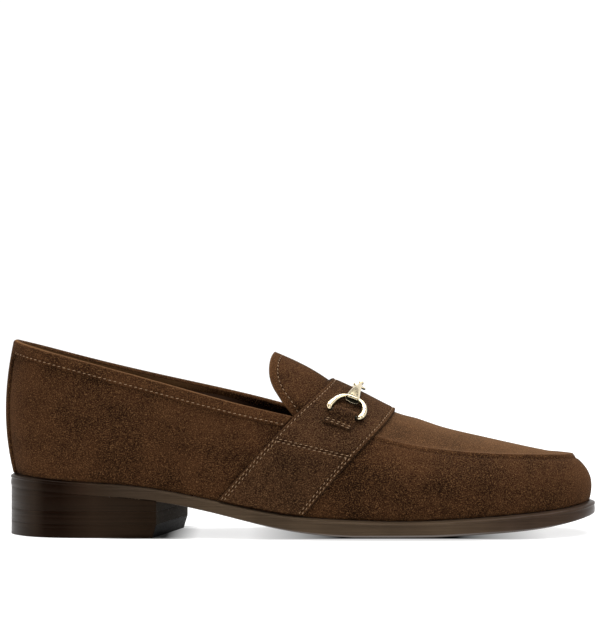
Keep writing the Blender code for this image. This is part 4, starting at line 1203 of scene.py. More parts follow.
# Collar band
# A strip of the same suede folded over the collar, from strap to strap, with a tail down the back seam.
# One row of thread near its lower edge holds both leaves of the fold.
BAND_WIDTH = 0.0068
BAND_RISE = 1.25 * MM  # outer leaf above the wall
BAND_STITCH = 1.0 * MM  # from the lower edge
BAND_INSIDE = 4.5 * MM  # inner leaf
BAND_LEAF = 0.3 * MM
FOLD = 1.5 * MM  # height of the rounded fold
CAP_STEPS = 13
OUTER_STEPS = 16
INNER_STEPS = 8
LIP_LINES = (0.0, 0.06, 0.2, 0.4, 0.65, 0.85)  # grid lines near the lower edge, in mm from it
LIP_ROUND = 0.7 * MM
LIP_SHARE = 0.12  # part of the leaf's rise that its cut edge has
SKIRT = 1.2 * MM  # the inner leaf thins towards its lower edge over this width
SKIRT_EDGE = 0.06 * MM  # to this thickness
FACE_GAP = 0.05 * MM  # leather laid on leather stands off by this much
LINING_GAP = 0.04 * MM
RIM_CLEAR = 0.2 * MM
TAIL_FLARE = 0.22  # the tail widens into the band by this many rows
TAIL_FLARE_FROM = 0.94  # from this share of its height
TAIL_FOOT = 0.006  # share of its height where it starts
TAIL_CLOSE = 0.8  # its grid lines lie closer past this share of its height or half width
TAIL_ROUND = 0.8 * MM
TAIL_LINES = np.array((0.0, 0.012, 0.03, 0.06, 0.1))  # grid lines near its edges, shares of its half width
JOIN_ROWS = (1.05, 0.2)  # the tail joins the band this far from the heel tip, fading over that many rows
SEWN_FROM = 1.1  # the thread keeps this many rows away from the heel tip
BAND_END = 0.02  # the band ends this many rows behind the strap, and its next row is at least as far on
# Shades added to the band's nap, and where; the fold's line is partly painted highlight, the inner leaf's
# shades are painted light and shade
BAND_PALER = 0.12
FOLD_WORN_AND_LIT = 0.65  # the rubbed line on the outer side of the fold, worn nap with a painted highlight: its place and half width
FOLD_LINE = 0.25 * MM
FOLD_HALF = 0.40 * MM
INNER_PAINTED_LIGHT = 0.75  # painted light on the inner leaf, which lies in shade, and painted shade on it towards the throat
INNER_PAINTED_SHADE = 1.35
INNER_FADE = (27.0, 43.0)  # percent of LENGTH
TAIL_DARKER = 0.25  # along the tail's edges, fading over TAIL_FADE
TAIL_FADE = 0.6 * MM
band_start = STRAP_REAR + BAND_END
band_side = LATERAL_ROWS[LATERAL_ROWS > band_start + BAND_END]
band_half = np.concatenate(([band_start], band_side[:-1]))
band_rows = np.concatenate((band_half, HEEL_ARC, TURN - band_half[::-1]))
on_tail = smooth((JOIN_ROWS[0] - np.abs(band_rows - HEEL_TIP)) / JOIN_ROWS[1])[:, None]


def at_collar(row, below, height):
    """Place near the collar: below its top along the wall, height above the wall's outer face."""
    row, below, height = np.broadcast_arrays(row, below, height)
    share = 1 - below / slant(row)
    return wall(row, share) + wall_normal(row, share) * height[..., None]


def band_section():
    """Outline of the folded strip for every band row: below the collar's top, height above the wall."""
    low_lines = BAND_WIDTH - np.array(LIP_LINES) * MM
    outer = np.concatenate((low_lines, np.linspace(BAND_WIDTH - BAND_STITCH, FOLD, OUTER_STEPS)))
    from_low = (BAND_WIDTH - outer)[None, :]
    lip = rounded(from_low, LIP_ROUND)
    lip = lip + (1 - lip) * on_tail
    outer_height = BAND_RISE * (LIP_SHARE + (1 - LIP_SHARE) * lip)
    outer_height = outer_height - GROOVE_DEPTH * groove(from_low, BAND_STITCH) * (1 - on_tail)
    angle = np.linspace(0, np.pi, CAP_STEPS + 2)[1:-1]
    inside = -(WALL + BAND_LEAF)
    cap_below = FOLD * (1 - np.sin(angle))
    cap_height = (BAND_RISE + inside) / 2 + (BAND_RISE - inside) / 2 * np.cos(angle)
    inner = np.linspace(FOLD, BAND_INSIDE, INNER_STEPS)
    inner_height = inside + (BAND_LEAF - SKIRT_EDGE) * smooth((inner - BAND_INSIDE + SKIRT) / SKIRT)
    under_rim = COLLAR_DROP - RIM_CLEAR
    back = (BAND_INSIDE, COLLAR_DROP, under_rim, under_rim, COLLAR_DROP, BAND_WIDTH)
    on_lining = -WALL - LINING_GAP
    back_height = (on_lining, on_lining, -WALL, 0.0, FACE_GAP, FACE_GAP)
    count = len(band_rows)
    below = np.tile(np.concatenate((outer, cap_below, inner, back)), (count, 1))
    rest = np.tile(np.concatenate((cap_height, inner_height, back_height)), (count, 1))
    return below, np.concatenate((outer_height, rest), axis=1), len(outer)


band_below, band_height, band_outer = band_section()
band_points = at_collar(band_rows[:, None], band_below, band_height)
band_columns = band_points.shape[1]
band_faces = grid_faces(band_columns, len(band_rows), closed=True)
for end in (0, len(band_rows) - 1):
    band_faces.append([k * len(band_rows) + end for k in range(band_columns)])
band_lit = hill(band_below, FOLD_LINE, FOLD_HALF)
band_lit[:, band_outer + CAP_STEPS // 2:] = 0.0  # only on the outer leaf's side of the fold
band_nap = nap_shade(band_points) + BAND_PALER + FOLD_WORN_AND_LIT * band_lit
band_inside = slice(band_outer + CAP_STEPS, None)
pale_end, dark_end = along(INNER_FADE)
deep = smooth((band_points[:, band_inside, 0] - pale_end) / (dark_end - pale_end))
band_nap[:, band_inside] += INNER_PAINTED_LIGHT - INNER_PAINTED_SHADE * deep
tail_share = np.concatenate((np.linspace(TAIL_FOOT, TAIL_CLOSE, 40), np.linspace(TAIL_CLOSE, 1.0, 24)[1:]))
tail_flare = np.clip((tail_share - TAIL_FLARE_FROM) / (1 - TAIL_FLARE_FROM), 0.0, 1.0) ** 3
tail_half = HEEL_TIP - BACK + TAIL_FLARE * tail_flare
tail_middle = np.linspace(-TAIL_CLOSE, TAIL_CLOSE, 25)
tail_across = np.concatenate((TAIL_LINES - 1, tail_middle, 1 - TAIL_LINES[::-1]))
tail_row = HEEL_TIP + tail_half[:, None] * tail_across[None, :]
tail_place = tail_share[:, None] * (1 - BAND_WIDTH / slant(tail_row))
tail_base = wall(tail_row, tail_place)
tail_normals = wall_normal(tail_row, tail_place)
tail_edge = np.minimum(run(tail_base, 1), run_back(tail_base, 1))
tail_rise = BAND_RISE * (LIP_SHARE + (1 - LIP_SHARE) * rounded(tail_edge, TAIL_ROUND))
tail = slab(tail_base + tail_normals * tail_rise[..., None], tail_base + tail_normals * FACE_GAP)
tail_nap = nap_shade(tail_base) - TAIL_DARKER * np.exp(-tail_edge / TAIL_FADE)
collar_nap = np.concatenate((band_nap.T.ravel(), np.tile(tail_nap.ravel(), 2)))
collar = joined((np.swapaxes(band_points, 0, 1), band_faces), tail)
collar_band = piece("collar_band_suede", *collar, [suede_look], nap=collar_nap)
dress(collar_band, "collar_band")
band_lines = []
for rows in (band_rows[band_rows < HEEL_TIP - SEWN_FROM], band_rows[band_rows > HEEL_TIP + SEWN_FROM]):
    line = at_collar(rows, BAND_WIDTH - BAND_STITCH, BAND_RISE - GROOVE_DEPTH)
    band_lines.append((line, wall_normal(rows, 1 - (BAND_WIDTH - BAND_STITCH) / slant(rows))))
sew("collar_band_thread", band_lines)

# Side panels
# Lower ends of the saddle on both sides, cut from a darker skin and sewn flat on the vamp and quarter.
# Two rows of thread run down both edges, and their lower ends are lasted under with the upper.
PANEL_RISE = 1.7 * MM
EDGE_ROUND = 0.8 * MM
PANEL_STITCHES = (1.25 * MM, 2.75 * MM)  # from its front and rear edges
CROSS_STITCH = 0.65 * MM  # from the joint of panel and strap
ROWS_BELOW_BAND = 6
SEAM_ROW = ROWS_BELOW_BAND - 1
SEAM_CLEAR = 0.0012
STRAP_MM = 20.0  # one row of the strap is about this wide
# Grid lines near the saddle's front and rear edges, in mm from them
EDGE_LINES = np.concatenate(((0.0, 0.08, 0.2, 0.4, 0.65, 0.95), np.linspace(1.3, 4.3, 11), (4.7,)))
EDGE_LINES = EDGE_LINES / STRAP_MM
MIDDLE_LINES = np.linspace(STRAP_FRONT + EDGE_LINES[-1], STRAP_REAR - EDGE_LINES[-1], 30)
STRAP_LINES = np.concatenate((STRAP_FRONT + EDGE_LINES[:-1], MIDDLE_LINES, STRAP_REAR - EDGE_LINES[-2::-1]))
PANEL_FOOT = 0.02  # share of the wall where the panel starts
PANEL_CLOSE = 0.86  # its grid lines lie closer above this share of its height
PANEL_STEPS = steps_to_edge(PANEL_CLOSE, 50, 26, 1.6)
LEAF_GAP = 0.08 * MM  # a leaf's cut edges start this far off the upper
END_SHARE = 0.78  # part of a leaf's height that is left where panel and strap meet
END_ROUND = 0.35 * MM
CROSS_ENDS = 9  # grid lines without thread at both ends of the cross seam
# Painted light and shade along a leaf's cut edges, a painted highlight on the rim and painted shade on its
# side: amount, distance from the edge, half width
RIM_PAINTED_LIGHT = (0.32, 0.9 * MM, 0.5 * MM)
SIDE_PAINTED_SHADE = (-0.60, 0.0, 0.38 * MM)
# painted shade in the pressed stitch rows
SUNK_PAINTED_SHADE = 0.16
SADDLE_BROWN = ((0.0095, 0.0042, 0.0018), (0.058, 0.0268, 0.0118), (0.160, 0.088, 0.041))


def saddle_seam(row):
    """Share of the wall where the panel meets the bridge strap."""
    return (1 - BAND_WIDTH / slant(row)) * SEAM_ROW / ROWS_BELOW_BAND


def raised(base, normals, height):
    return base + normals * np.asarray(height)[..., None]


def saddle_leaf(name, base, normals, end, rise, places):
    """One leaf of the saddle, with its stitch rows pressed in; end is the distance from its joint."""
    near = np.minimum(run(base, 0), run_back(base, 0))
    sunk = np.clip(sum(groove(near, place) for place in places) + groove(end, CROSS_STITCH), 0.0, 1.0)
    height = rise * rounded(near, EDGE_ROUND) * (END_SHARE + (1 - END_SHARE) * rounded(end, END_ROUND))
    over = raised(base, normals, LEAF_GAP + height - GROOVE_DEPTH * sunk)
    # painted shade in the stitch rows, a painted highlight on the rims, painted shade on the sides
    nap = nap_shade(base) - SUNK_PAINTED_SHADE * sunk
    for amount, place, half in (RIM_PAINTED_LIGHT, SIDE_PAINTED_SHADE):
        nap = nap + amount * hill(near, place, half)
    leaf = slab(over, raised(base, normals, FACE_GAP))
    dress(piece(name + "_suede", *leaf, [panel_look], nap=np.tile(nap.ravel(), 2)), name)
    return over


def edge_seam(base, over, normals, edge, place, ends=0):
    """Row of stitches at one distance from an edge of a leaf: its front, rear, first or last one."""
    grids = (base, over, normals)
    if edge in ("first", "last"):
        grids = [np.swapaxes(grid, 0, 1) for grid in grids]
    if edge in ("rear", "last"):
        grids = [grid[::-1] for grid in grids]
    return sewn_line(grids[1], grids[2], run(grids[0], 0), place, ends)


def side_panel(name, rows):
    """One panel and its thread; rows run from the front edge to the rear edge."""
    row = rows[:, None]
    share = PANEL_FOOT + (saddle_seam(row) - SEAM_CLEAR - PANEL_FOOT) * PANEL_STEPS[None, :]
    base = wall(row, share)
    normals = wall_normal(row, share)
    over = saddle_leaf(name, base, normals, run_back(base, 1), PANEL_RISE, PANEL_STITCHES)
    lines = [edge_seam(base, over, normals, "last", CROSS_STITCH, CROSS_ENDS)]
    for place in PANEL_STITCHES:
        lines += [edge_seam(base, over, normals, edge, place) for edge in ("front", "rear")]
    sew(name + "_thread", lines)


panel_look = suede("suede_saddle", *SADDLE_BROWN)
side_panel("side_panel_lateral", STRAP_LINES)
side_panel("side_panel_medial", TURN - STRAP_LINES)

# Bridge strap
# The saddle's upper part, one strip from panel to panel over the instep, covering the tongue's root.
# A single row of thread runs inside both edges, and one row holds each end to its panel.
STRAP_RISE = 1.8 * MM
STRAP_STITCH = 1.9 * MM
STRAP_CELLS = 90
STRAP_WALL_STEPS = 21
strap_row = STRAP_LINES[:, None]
strap_across = steps_across(STRAP_CELLS)[None, :]
strap_low = saddle_seam(strap_row) + SEAM_CLEAR
strap_share = strap_low + (1 - strap_low) * np.arange(STRAP_WALL_STEPS) / STRAP_WALL_STEPS
strap_base = np.concatenate((
    wall(strap_row, strap_share),
    apron(strap_row, strap_across),
    wall(-strap_row, strap_share[:, ::-1]),
), axis=1)
strap_away = np.concatenate((
    wall_normal(strap_row, strap_share),
    apron_normal(strap_row, strap_across),
    wall_normal(-strap_row, strap_share[:, ::-1]),
), axis=1)
strap_normals = grid_normals(strap_base, strap_away)
strap_end = np.minimum(run(strap_base, 1), run_back(strap_base, 1))
strap_over = saddle_leaf("bridge_strap", strap_base, strap_normals, strap_end, STRAP_RISE, (STRAP_STITCH,))
strap_lines = []
for edge, place, ends in (
    ("front", STRAP_STITCH, 0),
    ("rear", STRAP_STITCH, 0),
    ("first", CROSS_STITCH, CROSS_ENDS),
    ("last", CROSS_STITCH, CROSS_ENDS),
):
    strap_lines.append(edge_seam(strap_base, strap_over, strap_normals, edge, place, ends))
sew("bridge_strap_thread", strap_lines)

# Bit loops
# Short suede tabs that wrap the bar of each ring and hold the bit to the strap.
# Two rows of thread close each loop below the bar.
BIT_ROW = ROW["strap_mid"] + 0.02
RING_CENTRE = 0.151  # share of the strap's way across the apron
BIT_SHIFT = -0.6 * MM  # forward place of the ring's middle line beside the bar
BIT_SHEAR = 0.12  # the bit leans back towards the heel as it climbs the strap
FOOT_TILT = 0.09  # its lower part turns down towards the toe, from FOOT_TILT_FROM downwards
FOOT_TILT_FROM = -2.0 * MM
FOOT_TILT_OVER = 4.0 * MM
RING_FOOT = 6.3 * MM  # the bar under the loop lies this far below the ring's centre
# Tab in millimetres, from its sewn end over the bar: up from the bar, height over the strap
LOOP_PATH = (
    (-8.1, 0.3),
    (-6.6, 0.3),
    (-5.2, 0.35),
    (-4.2, 0.75),
    (-3.2, 1.4),
    (-2.2, 2.05),
    (-1.2, 2.5),
    (0.0, 2.6),
    (0.8, 2.4),
    (1.4, 1.85),
    (1.6, 1.1),
    (1.6, 0.35),
)
LOOP_STEPS = 100
LOOP_NECK = 5.6 * MM  # half width between the ring's arms and below them
LOOP_BASE = 7.1 * MM
LOOP_SPREAD = (-1.5 * MM, -3.5 * MM)  # the tab widens between these places, up from the bar
LOOP_THICK = 1.1 * MM
LOOP_ROUND = 0.5 * MM
LOOP_STITCHES = (1.0 * MM, 2.5 * MM)  # from the sewn end
LOOP_TILT = 0.11  # these rows run down towards the toe
LOOP_CELLS = 40
LOOP_EDGE = 0.4  # part of its thickness that its cut edges have
LOOP_GROOVE = 0.7 * GROOVE_DEPTH
LOOP_SINK = 0.02 * MM
LOOP_ENDS = 3  # grid lines without thread at both ends of a row
# Shades added to the loops' nap: darker overall, painted highlights on the edges and on the fold over the
# bar, painted shade in the stitch rows
LOOP_DARKER = 0.14
LOOP_EDGE_PAINTED_LIGHT = 0.22
LOOP_FOLD_PAINTED_LIGHT = 0.38
LOOP_FOLD_AT = 0.82  # share of the tab's length
LOOP_FOLD_HALF = 1.3 * MM
LOOP_SUNK_PAINTED_SHADE = 0.12
STRAP_THICK = 1.5 * MM


def on_strap(forward, up_slope, height, side):
    """Place on the strap's outer face, in metres from the ring's centre; side -1 lateral, 1 medial."""
    forward, up_slope, height = np.broadcast_arrays(forward, up_slope, height)
    step = NORMAL_STEP
    centre = RING_CENTRE if side < 0 else 1 - RING_CENTRE
    per_row = np.linalg.norm(apron(BIT_ROW + step, centre) - apron(BIT_ROW - step, centre)) / (2 * step)
    per_across = np.linalg.norm(apron(BIT_ROW, centre + step) - apron(BIT_ROW, centre - step)) / (2 * step)
    up_slope = up_slope - FOOT_TILT * forward * smooth((FOOT_TILT_FROM - up_slope) / FOOT_TILT_OVER)
    row = BIT_ROW - (forward + BIT_SHIFT - BIT_SHEAR * (up_slope + RING_FOOT)) / per_row
    across = centre - side * up_slope / per_across
    normal = apron_normal(row, across)
    return apron(row, across) + normal * (GAP + STRAP_THICK + height)[..., None], normal


def bit_loop(name, side):
    """Tab sewn flat on the strap that rises over the ring's bar and folds down behind it."""
    stations = np.linspace(0, len(LOOP_PATH) - 1, LOOP_STEPS)
    path = curve(np.arange(len(LOOP_PATH)), LOOP_PATH)(stations) * MM
    rise, lift = path[:, :1], path[:, 1:]
    narrow, broad = LOOP_SPREAD
    half = LOOP_NECK + (LOOP_BASE - LOOP_NECK) * smooth((rise - narrow) / (broad - narrow))
    forward = half * (1 - 2 * steps_across(LOOP_CELLS))[None, :]
    flat, away = on_strap(forward, rise - RING_FOOT, lift, side)
    normals = grid_normals(flat, away)
    from_low = run(flat, 0)
    edge = np.minimum(np.minimum(from_low, run_back(flat, 0)), half - np.abs(forward))
    tilted = from_low + LOOP_TILT * forward
    sunk = np.clip(sum(groove(tilted, place) for place in LOOP_STITCHES), 0.0, 1.0)
    height = LOOP_THICK * (LOOP_EDGE + (1 - LOOP_EDGE) * rounded(edge, LOOP_ROUND)) - LOOP_GROOVE * sunk
    over = raised(flat, normals, height)
    fold = hill(from_low, LOOP_FOLD_AT * from_low[-1:], LOOP_FOLD_HALF)
    nap = nap_shade(flat) - LOOP_DARKER + LOOP_EDGE_PAINTED_LIGHT * np.exp(-edge / EDGE_FADE)
    nap = nap + LOOP_FOLD_PAINTED_LIGHT * fold - LOOP_SUNK_PAINTED_SHADE * sunk
    tab = slab(over, raised(flat, normals, -LOOP_SINK))
    dress(piece(name + "_suede", *tab, [panel_look], nap=np.tile(nap.ravel(), 2)), name)
    sew(name + "_thread", [sewn_line(over, normals, tilted, place, LOOP_ENDS) for place in LOOP_STITCHES])


bit_loop("bit_loop_lateral", -1)
bit_loop("bit_loop_medial", 1)

# Bit
# A cast and polished gilt snaffle: two rings with horn-shaped arms, each with a hollow bell-shaped shank.
# The shanks meet over the ridge, where the lateral one's ball sits in the medial one's eye.
BIT_MIDDLE = -0.0031  # forward place of the joint over the ridge
# Half of the ring in millimetres, from the middle of the arch to the middle of the bar: forward, up, radius
RING_HALF = (
    (0.0, 6.4, 1.0),
    (3.0, 6.1, 1.0),
    (5.1, 4.7, 1.15),
    (6.8, 2.1, 1.35),
    (7.8, -1.3, 1.55),
    (8.2, -4.3, 1.65),
    (7.8, -6.0, 1.5),
    (6.6, -6.5, 1.0),
    (5.2, -6.3, 0.9),
    (2.6, -6.3, 0.9),
    (0.0, -6.3, 0.9),
)
RING_STEPS = 160
RING_SIDES = 24
BAR_HALF = 6.9 * MM  # the bar, painted dark as shade under the loop: half length, and its top up from the ring's centre
BAR_TOP = -5.5 * MM
RING_LIFT = 0.0007  # the arch stands off the strap by this much more
SHANK_LOW = 0.0036  # mouth of the shank, up from the ring's centre
SHANK_LOW_HEIGHT = 0.0026
SHANK_WIDE = 0.0039
SHANK_NARROW = 0.0010
SHANK_TALL = 0.0017
SHANK_FLAT = 0.0009
SHANK_ARCH = 0.0010
SHANK_TOP = 0.0042  # its upper end, sideways from the ridge
SHANK_TOP_HEIGHT = 0.0026
BELL_STEPS = 24
BELL_SIDES = 32
BELL_RIM = 0.94  # share of the shank's length where its rim starts
BELL_TAPER = 0.8
BELL_SQUARE = 0.8  # below 1 its section is a little squared
# Mouth of the bell, over the rim and into the hollow: share of its length, share of its width
MOUTH = (
    (0.96, 1.05),
    (0.985, 1.06),
    (1.0, 1.0),
    (1.0, 0.86),
    (0.97, 0.76),
    (0.80, 0.66),
    (0.62, 0.20),
)
HOLLOW_FROM = BELL_STEPS + 3  # first ring of faces inside the mouth
EYE_RADIUS = 0.0027
EYE_WIRE = 0.00065
BALL_RADIUS = 0.0012
NECK_RADIUS = 0.0006
# Neck of the ball in millimetres: sideways from the ridge, height over the strap
NECK_PATH = ((-5.0, 2.6), (-3.8, 3.1), (-2.4, 3.4), (-1.2, 3.5), (-0.3, 3.5))
NECK_STEPS = 16
BALL_CELLS = 32
EYE_STEPS = 48
EYE_NECK = (0.0024, 0.0050)  # sideways from the ridge
EYE_NECK_RADIUS = 0.0007
EYE_NECK_STEPS = 8
EYE_HEIGHT = 0.0017
BALL_HEIGHT = 0.0036
PAINTED_LIGHT_SIDE = (-0.45, 0.0, 0.89)  # painted light: what faces this way stays bright
PAINTED_SHADE_RANGE = (-0.50, -0.02)  # between these shares of facing it the painted olive shade ends
OLIVE_SHADE = (0.085, 0.074, 0.036)


def tube(centres, ahead, normals, wide, tall, sides, power=1.0):
    """Points round a line; wide lies on the strap, tall stands off it, power below 1 squares the section."""
    level_way = unit(np.cross(normals, ahead))
    stand = np.cross(ahead, level_way)
    angle = 2 * np.pi * np.arange(sides + 1) / sides
    cosine, sine = (np.sign(wave) * np.abs(wave) ** power for wave in (np.cos(angle), np.sin(angle)))
    across = level_way[:, None] * (wide[:, None] * cosine)[..., None]
    return centres[:, None] + across + stand[:, None] * (tall[:, None] * sine)[..., None]


def bar(centres, normals, radius, closed=False, sides=18):
    """Round bar along a path."""
    before = np.roll(centres, 1, axis=0)
    after = np.roll(centres, -1, axis=0)
    if not closed:
        before[0] = centres[0]
        after[-1] = centres[-1]
    radius = np.broadcast_to(radius, len(centres))
    points = tube(centres, unit(after - before), normals, radius, radius, sides)
    return points, tube_faces(len(centres), sides, closed)


def ring_outline():
    """Middle line of the whole ring: forward, up the strap, radius."""
    half = MM * np.array(RING_HALF)
    whole = np.concatenate((half, half[-2:0:-1] * (-1, 1, 1)))
    return closed_curve(whole, lead=4)(len(whole) * np.arange(RING_STEPS) / RING_STEPS)


RING_OUTLINE = ring_outline()
RING_SHADED = (np.abs(RING_OUTLINE[:, 0]) < BAR_HALF) & (RING_OUTLINE[:, 1] < BAR_TOP)  # steps of the bar


def ring_bar(side):
    """The ring: horn-shaped arms from an arch, and a thin bar under the loop."""
    forward, up_slope, radius = RING_OUTLINE.T
    height = GAP + radius + RING_LIFT * np.maximum(up_slope, 0.0) / (MM * RING_HALF[0][1])
    centres, normals = on_strap(forward, up_slope, height, side)
    return bar(centres, normals, radius, closed=True, sides=RING_SIDES)


def over_ridge(forward, sideways, height):
    """Place above the strap's ridge, where the two halves of the bit meet."""
    centre = apron(BIT_ROW, 0.5)
    normal = apron_normal(BIT_ROW, 0.5)
    ahead = unit(np.cross(np.array((0.0, 1.0, 0.0)), normal))
    forward, sideways, height = np.broadcast_arrays(
        np.asarray(forward, float), np.asarray(sideways, float), np.asarray(height, float))
    off = normal * (GAP + STRAP_THICK + height)[..., None]
    point = centre + off + ahead * (BIT_MIDDLE + forward)[..., None]
    point[..., 1] += sideways
    return point, np.broadcast_to(normal, point.shape)


def shank_bell(side):
    """Bell-shaped shank from the middle down to the ring, with a rim and a hollow mouth."""
    start, normal = on_strap(0.0, SHANK_LOW, SHANK_LOW_HEIGHT, side)
    end, end_normal = over_ridge(0.0, side * SHANK_TOP, SHANK_TOP_HEIGHT if side < 0 else EYE_HEIGHT)
    station, swell = np.array(MOUTH).T
    share = 1 - np.concatenate((np.linspace(0, BELL_RIM, BELL_STEPS), station))
    swell = np.concatenate((np.ones(BELL_STEPS), swell))
    taper = share ** BELL_TAPER
    arch = UP * (SHANK_ARCH * np.sin(np.pi * share))[:, None]
    centres = start + (end - start) * share[:, None] + arch
    normals = normal + (end_normal - normal) * share[:, None]
    wide = (SHANK_WIDE + (SHANK_NARROW - SHANK_WIDE) * taper) * swell
    tall = (SHANK_TALL + (SHANK_FLAT - SHANK_TALL) * taper) * swell
    points = tube(centres, unit(start - end), normals, wide, tall, BELL_SIDES, BELL_SQUARE)
    return points, tube_faces(len(share), BELL_SIDES)


def ball_end():
    """Neck over the eye and the ball that sits in it."""
    path = curve(np.linspace(0, 1, len(NECK_PATH)), NECK_PATH)(np.linspace(0, 1, NECK_STEPS)) * MM
    centres, normals = over_ridge(0.0, path[:, 0], path[:, 1])
    centre = over_ridge(0.0, 0.0, BALL_HEIGHT)[0]
    turn = np.linspace(0, 2 * np.pi, BALL_CELLS + 1)
    climb = np.linspace(0, np.pi, BALL_CELLS // 2 + 1)[:, None]
    ways = (np.sin(climb) * np.cos(turn), np.sin(climb) * np.sin(turn), np.cos(climb))
    ball = np.stack(np.broadcast_arrays(*ways), axis=-1) * BALL_RADIUS + centre
    return [bar(centres, normals, NECK_RADIUS), (ball, grid_faces(*ball.shape[:2]))]


def eye_end():
    """Round eye and the short neck that ties it to its shank."""
    angle = 2 * np.pi * np.arange(EYE_STEPS) / EYE_STEPS
    eye = over_ridge(EYE_RADIUS * np.cos(angle), EYE_RADIUS * np.sin(angle), EYE_HEIGHT)
    neck = over_ridge(0.0, np.linspace(*EYE_NECK, EYE_NECK_STEPS), EYE_HEIGHT)
    return [bar(*eye, EYE_WIRE, closed=True), bar(*neck, EYE_NECK_RADIUS)]


def gilt(name):
    """Polished gilt casting with painted shade: bright where it faces up and back, olive where it turns down
    and to the toe.
    """
    look, tree, shader = new_look(name)
    marks = noise(tree, scale=900.0, detail=3.0, stretch=(0.3, 1.0, 1.0))
    bright = mix_colours(tree, remap(tree, marks, (0.3, 0.7)), (0.80, 0.66, 0.41), (0.88, 0.76, 0.52))
    facing = add_node(tree, "ShaderNodeNewGeometry").outputs["Normal"]
    turned = add_node(tree, "ShaderNodeVectorMath", {"operation": "DOT_PRODUCT"})
    for socket, value in zip(turned.inputs, (facing, PAINTED_LIGHT_SIDE)):
        feed(tree, socket, value)
    share = remap(tree, turned.outputs["Value"], PAINTED_SHADE_RANGE)
    set_inputs(
        tree, shader,
        Base_Color=mix_colours(tree, share, OLIVE_SHADE, bright),
        Metallic=1.0,
        Roughness=0.2,
    )
    return look


def shaded_hollow(name):
    """Inside of the shanks, made dark as painted shade; the bar under the loop gets it too."""
    look, tree, shader = new_look(name)
    set_inputs(tree, shader, Base_Color=(0.030, 0.026, 0.014), Metallic=0.6, Roughness=0.5)
    return look


gilt_look = gilt("gilt_metal")
hollow_look = shaded_hollow("gilt_hollow")
for side, name, ends in ((-1, "bit_lateral", ball_end()), (1, "bit_medial", eye_end())):
    ring, bell = ring_bar(side), shank_bell(side)
    points, faces = joined(ring, bell, *ends)
    # the bar under the loop and the inside of each shank get the painted shade
    hollow = np.zeros(len(faces), int)
    hollow[:len(ring[1])] = np.repeat(RING_SHADED, RING_SIDES)
    hollow[len(ring[1]) + HOLLOW_FROM * BELL_SIDES:len(ring[1]) + len(bell[1])] = 1
    dress(piece(name + "_gilt", points, faces, [gilt_look, hollow_look], hollow), name)

# Studio
# A plain pale floor that turns up into a round backdrop, for the photograph's white ground.
# Both glow from behind, except in painted shadows under the shoe, and four soft boxes light the shoe.
WHITE = (1.0, 1.0, 1.0)
AIR_GLOW = 0.2  # light from all sides
FLOOR_RINGS = (0.0, 0.4, 1.5)  # radii of the flat part's inner rings
FLOOR_RADIUS = 3.0
BACKDROP_ROUND = 1.2
BACKDROP_HEIGHT = 3.2
BACKDROP_STEPS = 13
FLOOR_TURNS = 97
STEEP = 0.95  # a lamp that looks down more steeply takes its sides from the Y axis
FLOOR_WHITE = (0.34, 0.34, 0.34)
# colour of the floor in its painted shadows
FLOOR_PAINTED_SHADOW = (0.14, 0.14, 0.14)
FLOOR_GLOW = 0.78  # less so in the painted shadows where the shoe stands
GLOW_MIDDLE = 0.001  # the painted shadows lie along this line
GLOW_DEPTH = (0.035, 0.042)  # and end this far from it
# Painted shadows under the forefoot and before the heel: middle, half length of the dark and fading part
PAINTED_SHADOWS = ((0.048, 0.028, 0.074), (-0.074, 0.008, 0.024))
FRONT_DARK = (-1.8, -1.1)  # towards the camera, outside the picture, the studio is dark


def studio_floor():
    """Floor and backdrop as one round sheet, with painted shadows under the shoe, and dark towards the
    camera.
    """
    turn = np.linspace(0, np.pi / 2, BACKDROP_STEPS)
    out = FLOOR_RADIUS + BACKDROP_ROUND * np.sin(turn)
    radius = np.concatenate((FLOOR_RINGS, out, out[-1:]))
    up = BACKDROP_ROUND * (1 - np.cos(turn))
    height = np.concatenate((np.zeros(len(FLOOR_RINGS)), up, [BACKDROP_HEIGHT]))
    angle = np.linspace(0, 2 * np.pi, FLOOR_TURNS)[None, :]
    points = np.stack(np.broadcast_arrays(
        radius[:, None] * np.cos(angle), radius[:, None] * np.sin(angle), height[:, None]), axis=-1)
    look, tree, shader = new_look("studio_white")
    parts = add_node(tree, "ShaderNodeSeparateXYZ", Vector=own_place(tree)).outputs
    lit = 1.0
    for middle, dark, fading in PAINTED_SHADOWS:
        away = calculate(tree, "ABSOLUTE", calculate(tree, "SUBTRACT", parts["X"], middle))
        lit = calculate(tree, "MINIMUM", lit, remap(tree, away, (dark, fading)))
    depth = calculate(tree, "ABSOLUTE", calculate(tree, "SUBTRACT", parts["Y"], GLOW_MIDDLE))
    lit = calculate(tree, "MAXIMUM", lit, remap(tree, depth, GLOW_DEPTH))
    glow = calculate(tree, "MINIMUM", lit, remap(tree, parts["Y"], FRONT_DARK))
    set_inputs(
        tree, shader,
        Base_Color=mix_colours(tree, lit, FLOOR_PAINTED_SHADOW, FLOOR_WHITE),
        Roughness=0.9,
        Specular_IOR_Level=0.1,
        Emission_Color=WHITE,
        Emission_Strength=calculate(tree, "MULTIPLY", glow, FLOOR_GLOW),
    )
    made = piece("studio_floor", points, grid_faces(*points.shape[:2]), [look])
    if made.data.polygons[0].normal.z < 0:
        made.data.flip_normals()
    return made


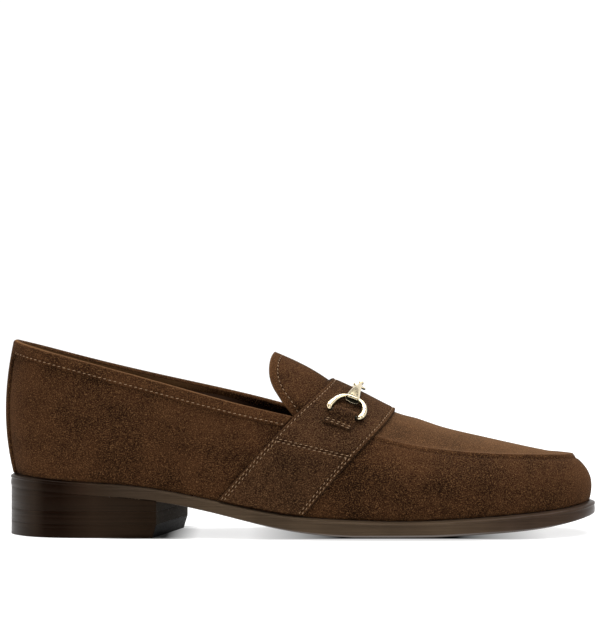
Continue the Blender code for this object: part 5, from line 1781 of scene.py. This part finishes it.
scene = bpy.context.scene
studio_floor()


def soft_box(name, place, aim, size, power, colour=WHITE):
    """Rectangular area light that looks at a point."""
    lamp = bpy.data.lights.new(name, "AREA")
    lamp.color = colour
    lamp.shape = "RECTANGLE"
    lamp.size, lamp.size_y = size
    lamp.energy = power
    made = bpy.data.objects.new(name, lamp)
    scene.collection.objects.link(made)
    backwards = unit(np.subtract(place, aim))
    sideways = unit(np.cross((0.0, 1.0, 0.0) if abs(backwards[2]) > STEEP else UP, backwards))
    upwards = np.cross(backwards, sideways)
    matrix = np.eye(4)
    matrix[:3] = np.column_stack((sideways, upwards, backwards, place))
    made.matrix_world = Matrix(matrix.tolist())


soft_box("overhead_box", (0.0, 0.15, 1.9), (0.0, 0.15, 0.0), (2.4, 2.0), 84.0)
soft_box("front_box", (0.5, -2.3, 0.9), (0.0, 0.0, 0.05), (1.6, 1.2), 10.0)
soft_box("heel_box", (-1.9, -0.5, 0.7), (-0.1, 0.0, 0.04), (0.9, 1.3), 5.0, (1.0, 0.84, 0.70))
soft_box("toe_box", (1.9, -0.5, 0.8), (0.1, 0.0, 0.04), (0.9, 1.3), 5.0)
world = bpy.data.worlds.new("studio_air")
world.use_nodes = True
set_inputs(world.node_tree, world.node_tree.nodes["Background"], Color=WHITE, Strength=AIR_GLOW)
scene.world = world
scene.view_settings.view_transform = "Standard"
scene.view_settings.look = "None"

# Camera
# Level, looking at the lateral side square on.
# Its lens gives the photograph's field of view on the picture's longer side.
PHOTO_HEIGHT = 625
FOCAL_PIXELS = 2566
SENSOR = 36.0
CAMERA_PLACE = (-0.00025, -1.277, 0.1094)
camera_data = bpy.data.cameras.new("photo_camera")
camera_data.sensor_fit = "VERTICAL"
camera_data.sensor_height = SENSOR
camera_data.lens = SENSOR * FOCAL_PIXELS / PHOTO_HEIGHT
camera = bpy.data.objects.new("photo_camera", camera_data)
camera.location = CAMERA_PLACE
camera.rotation_euler = (math.pi / 2, 0.0, 0.0)
scene.collection.objects.link(camera)
scene.camera = camera
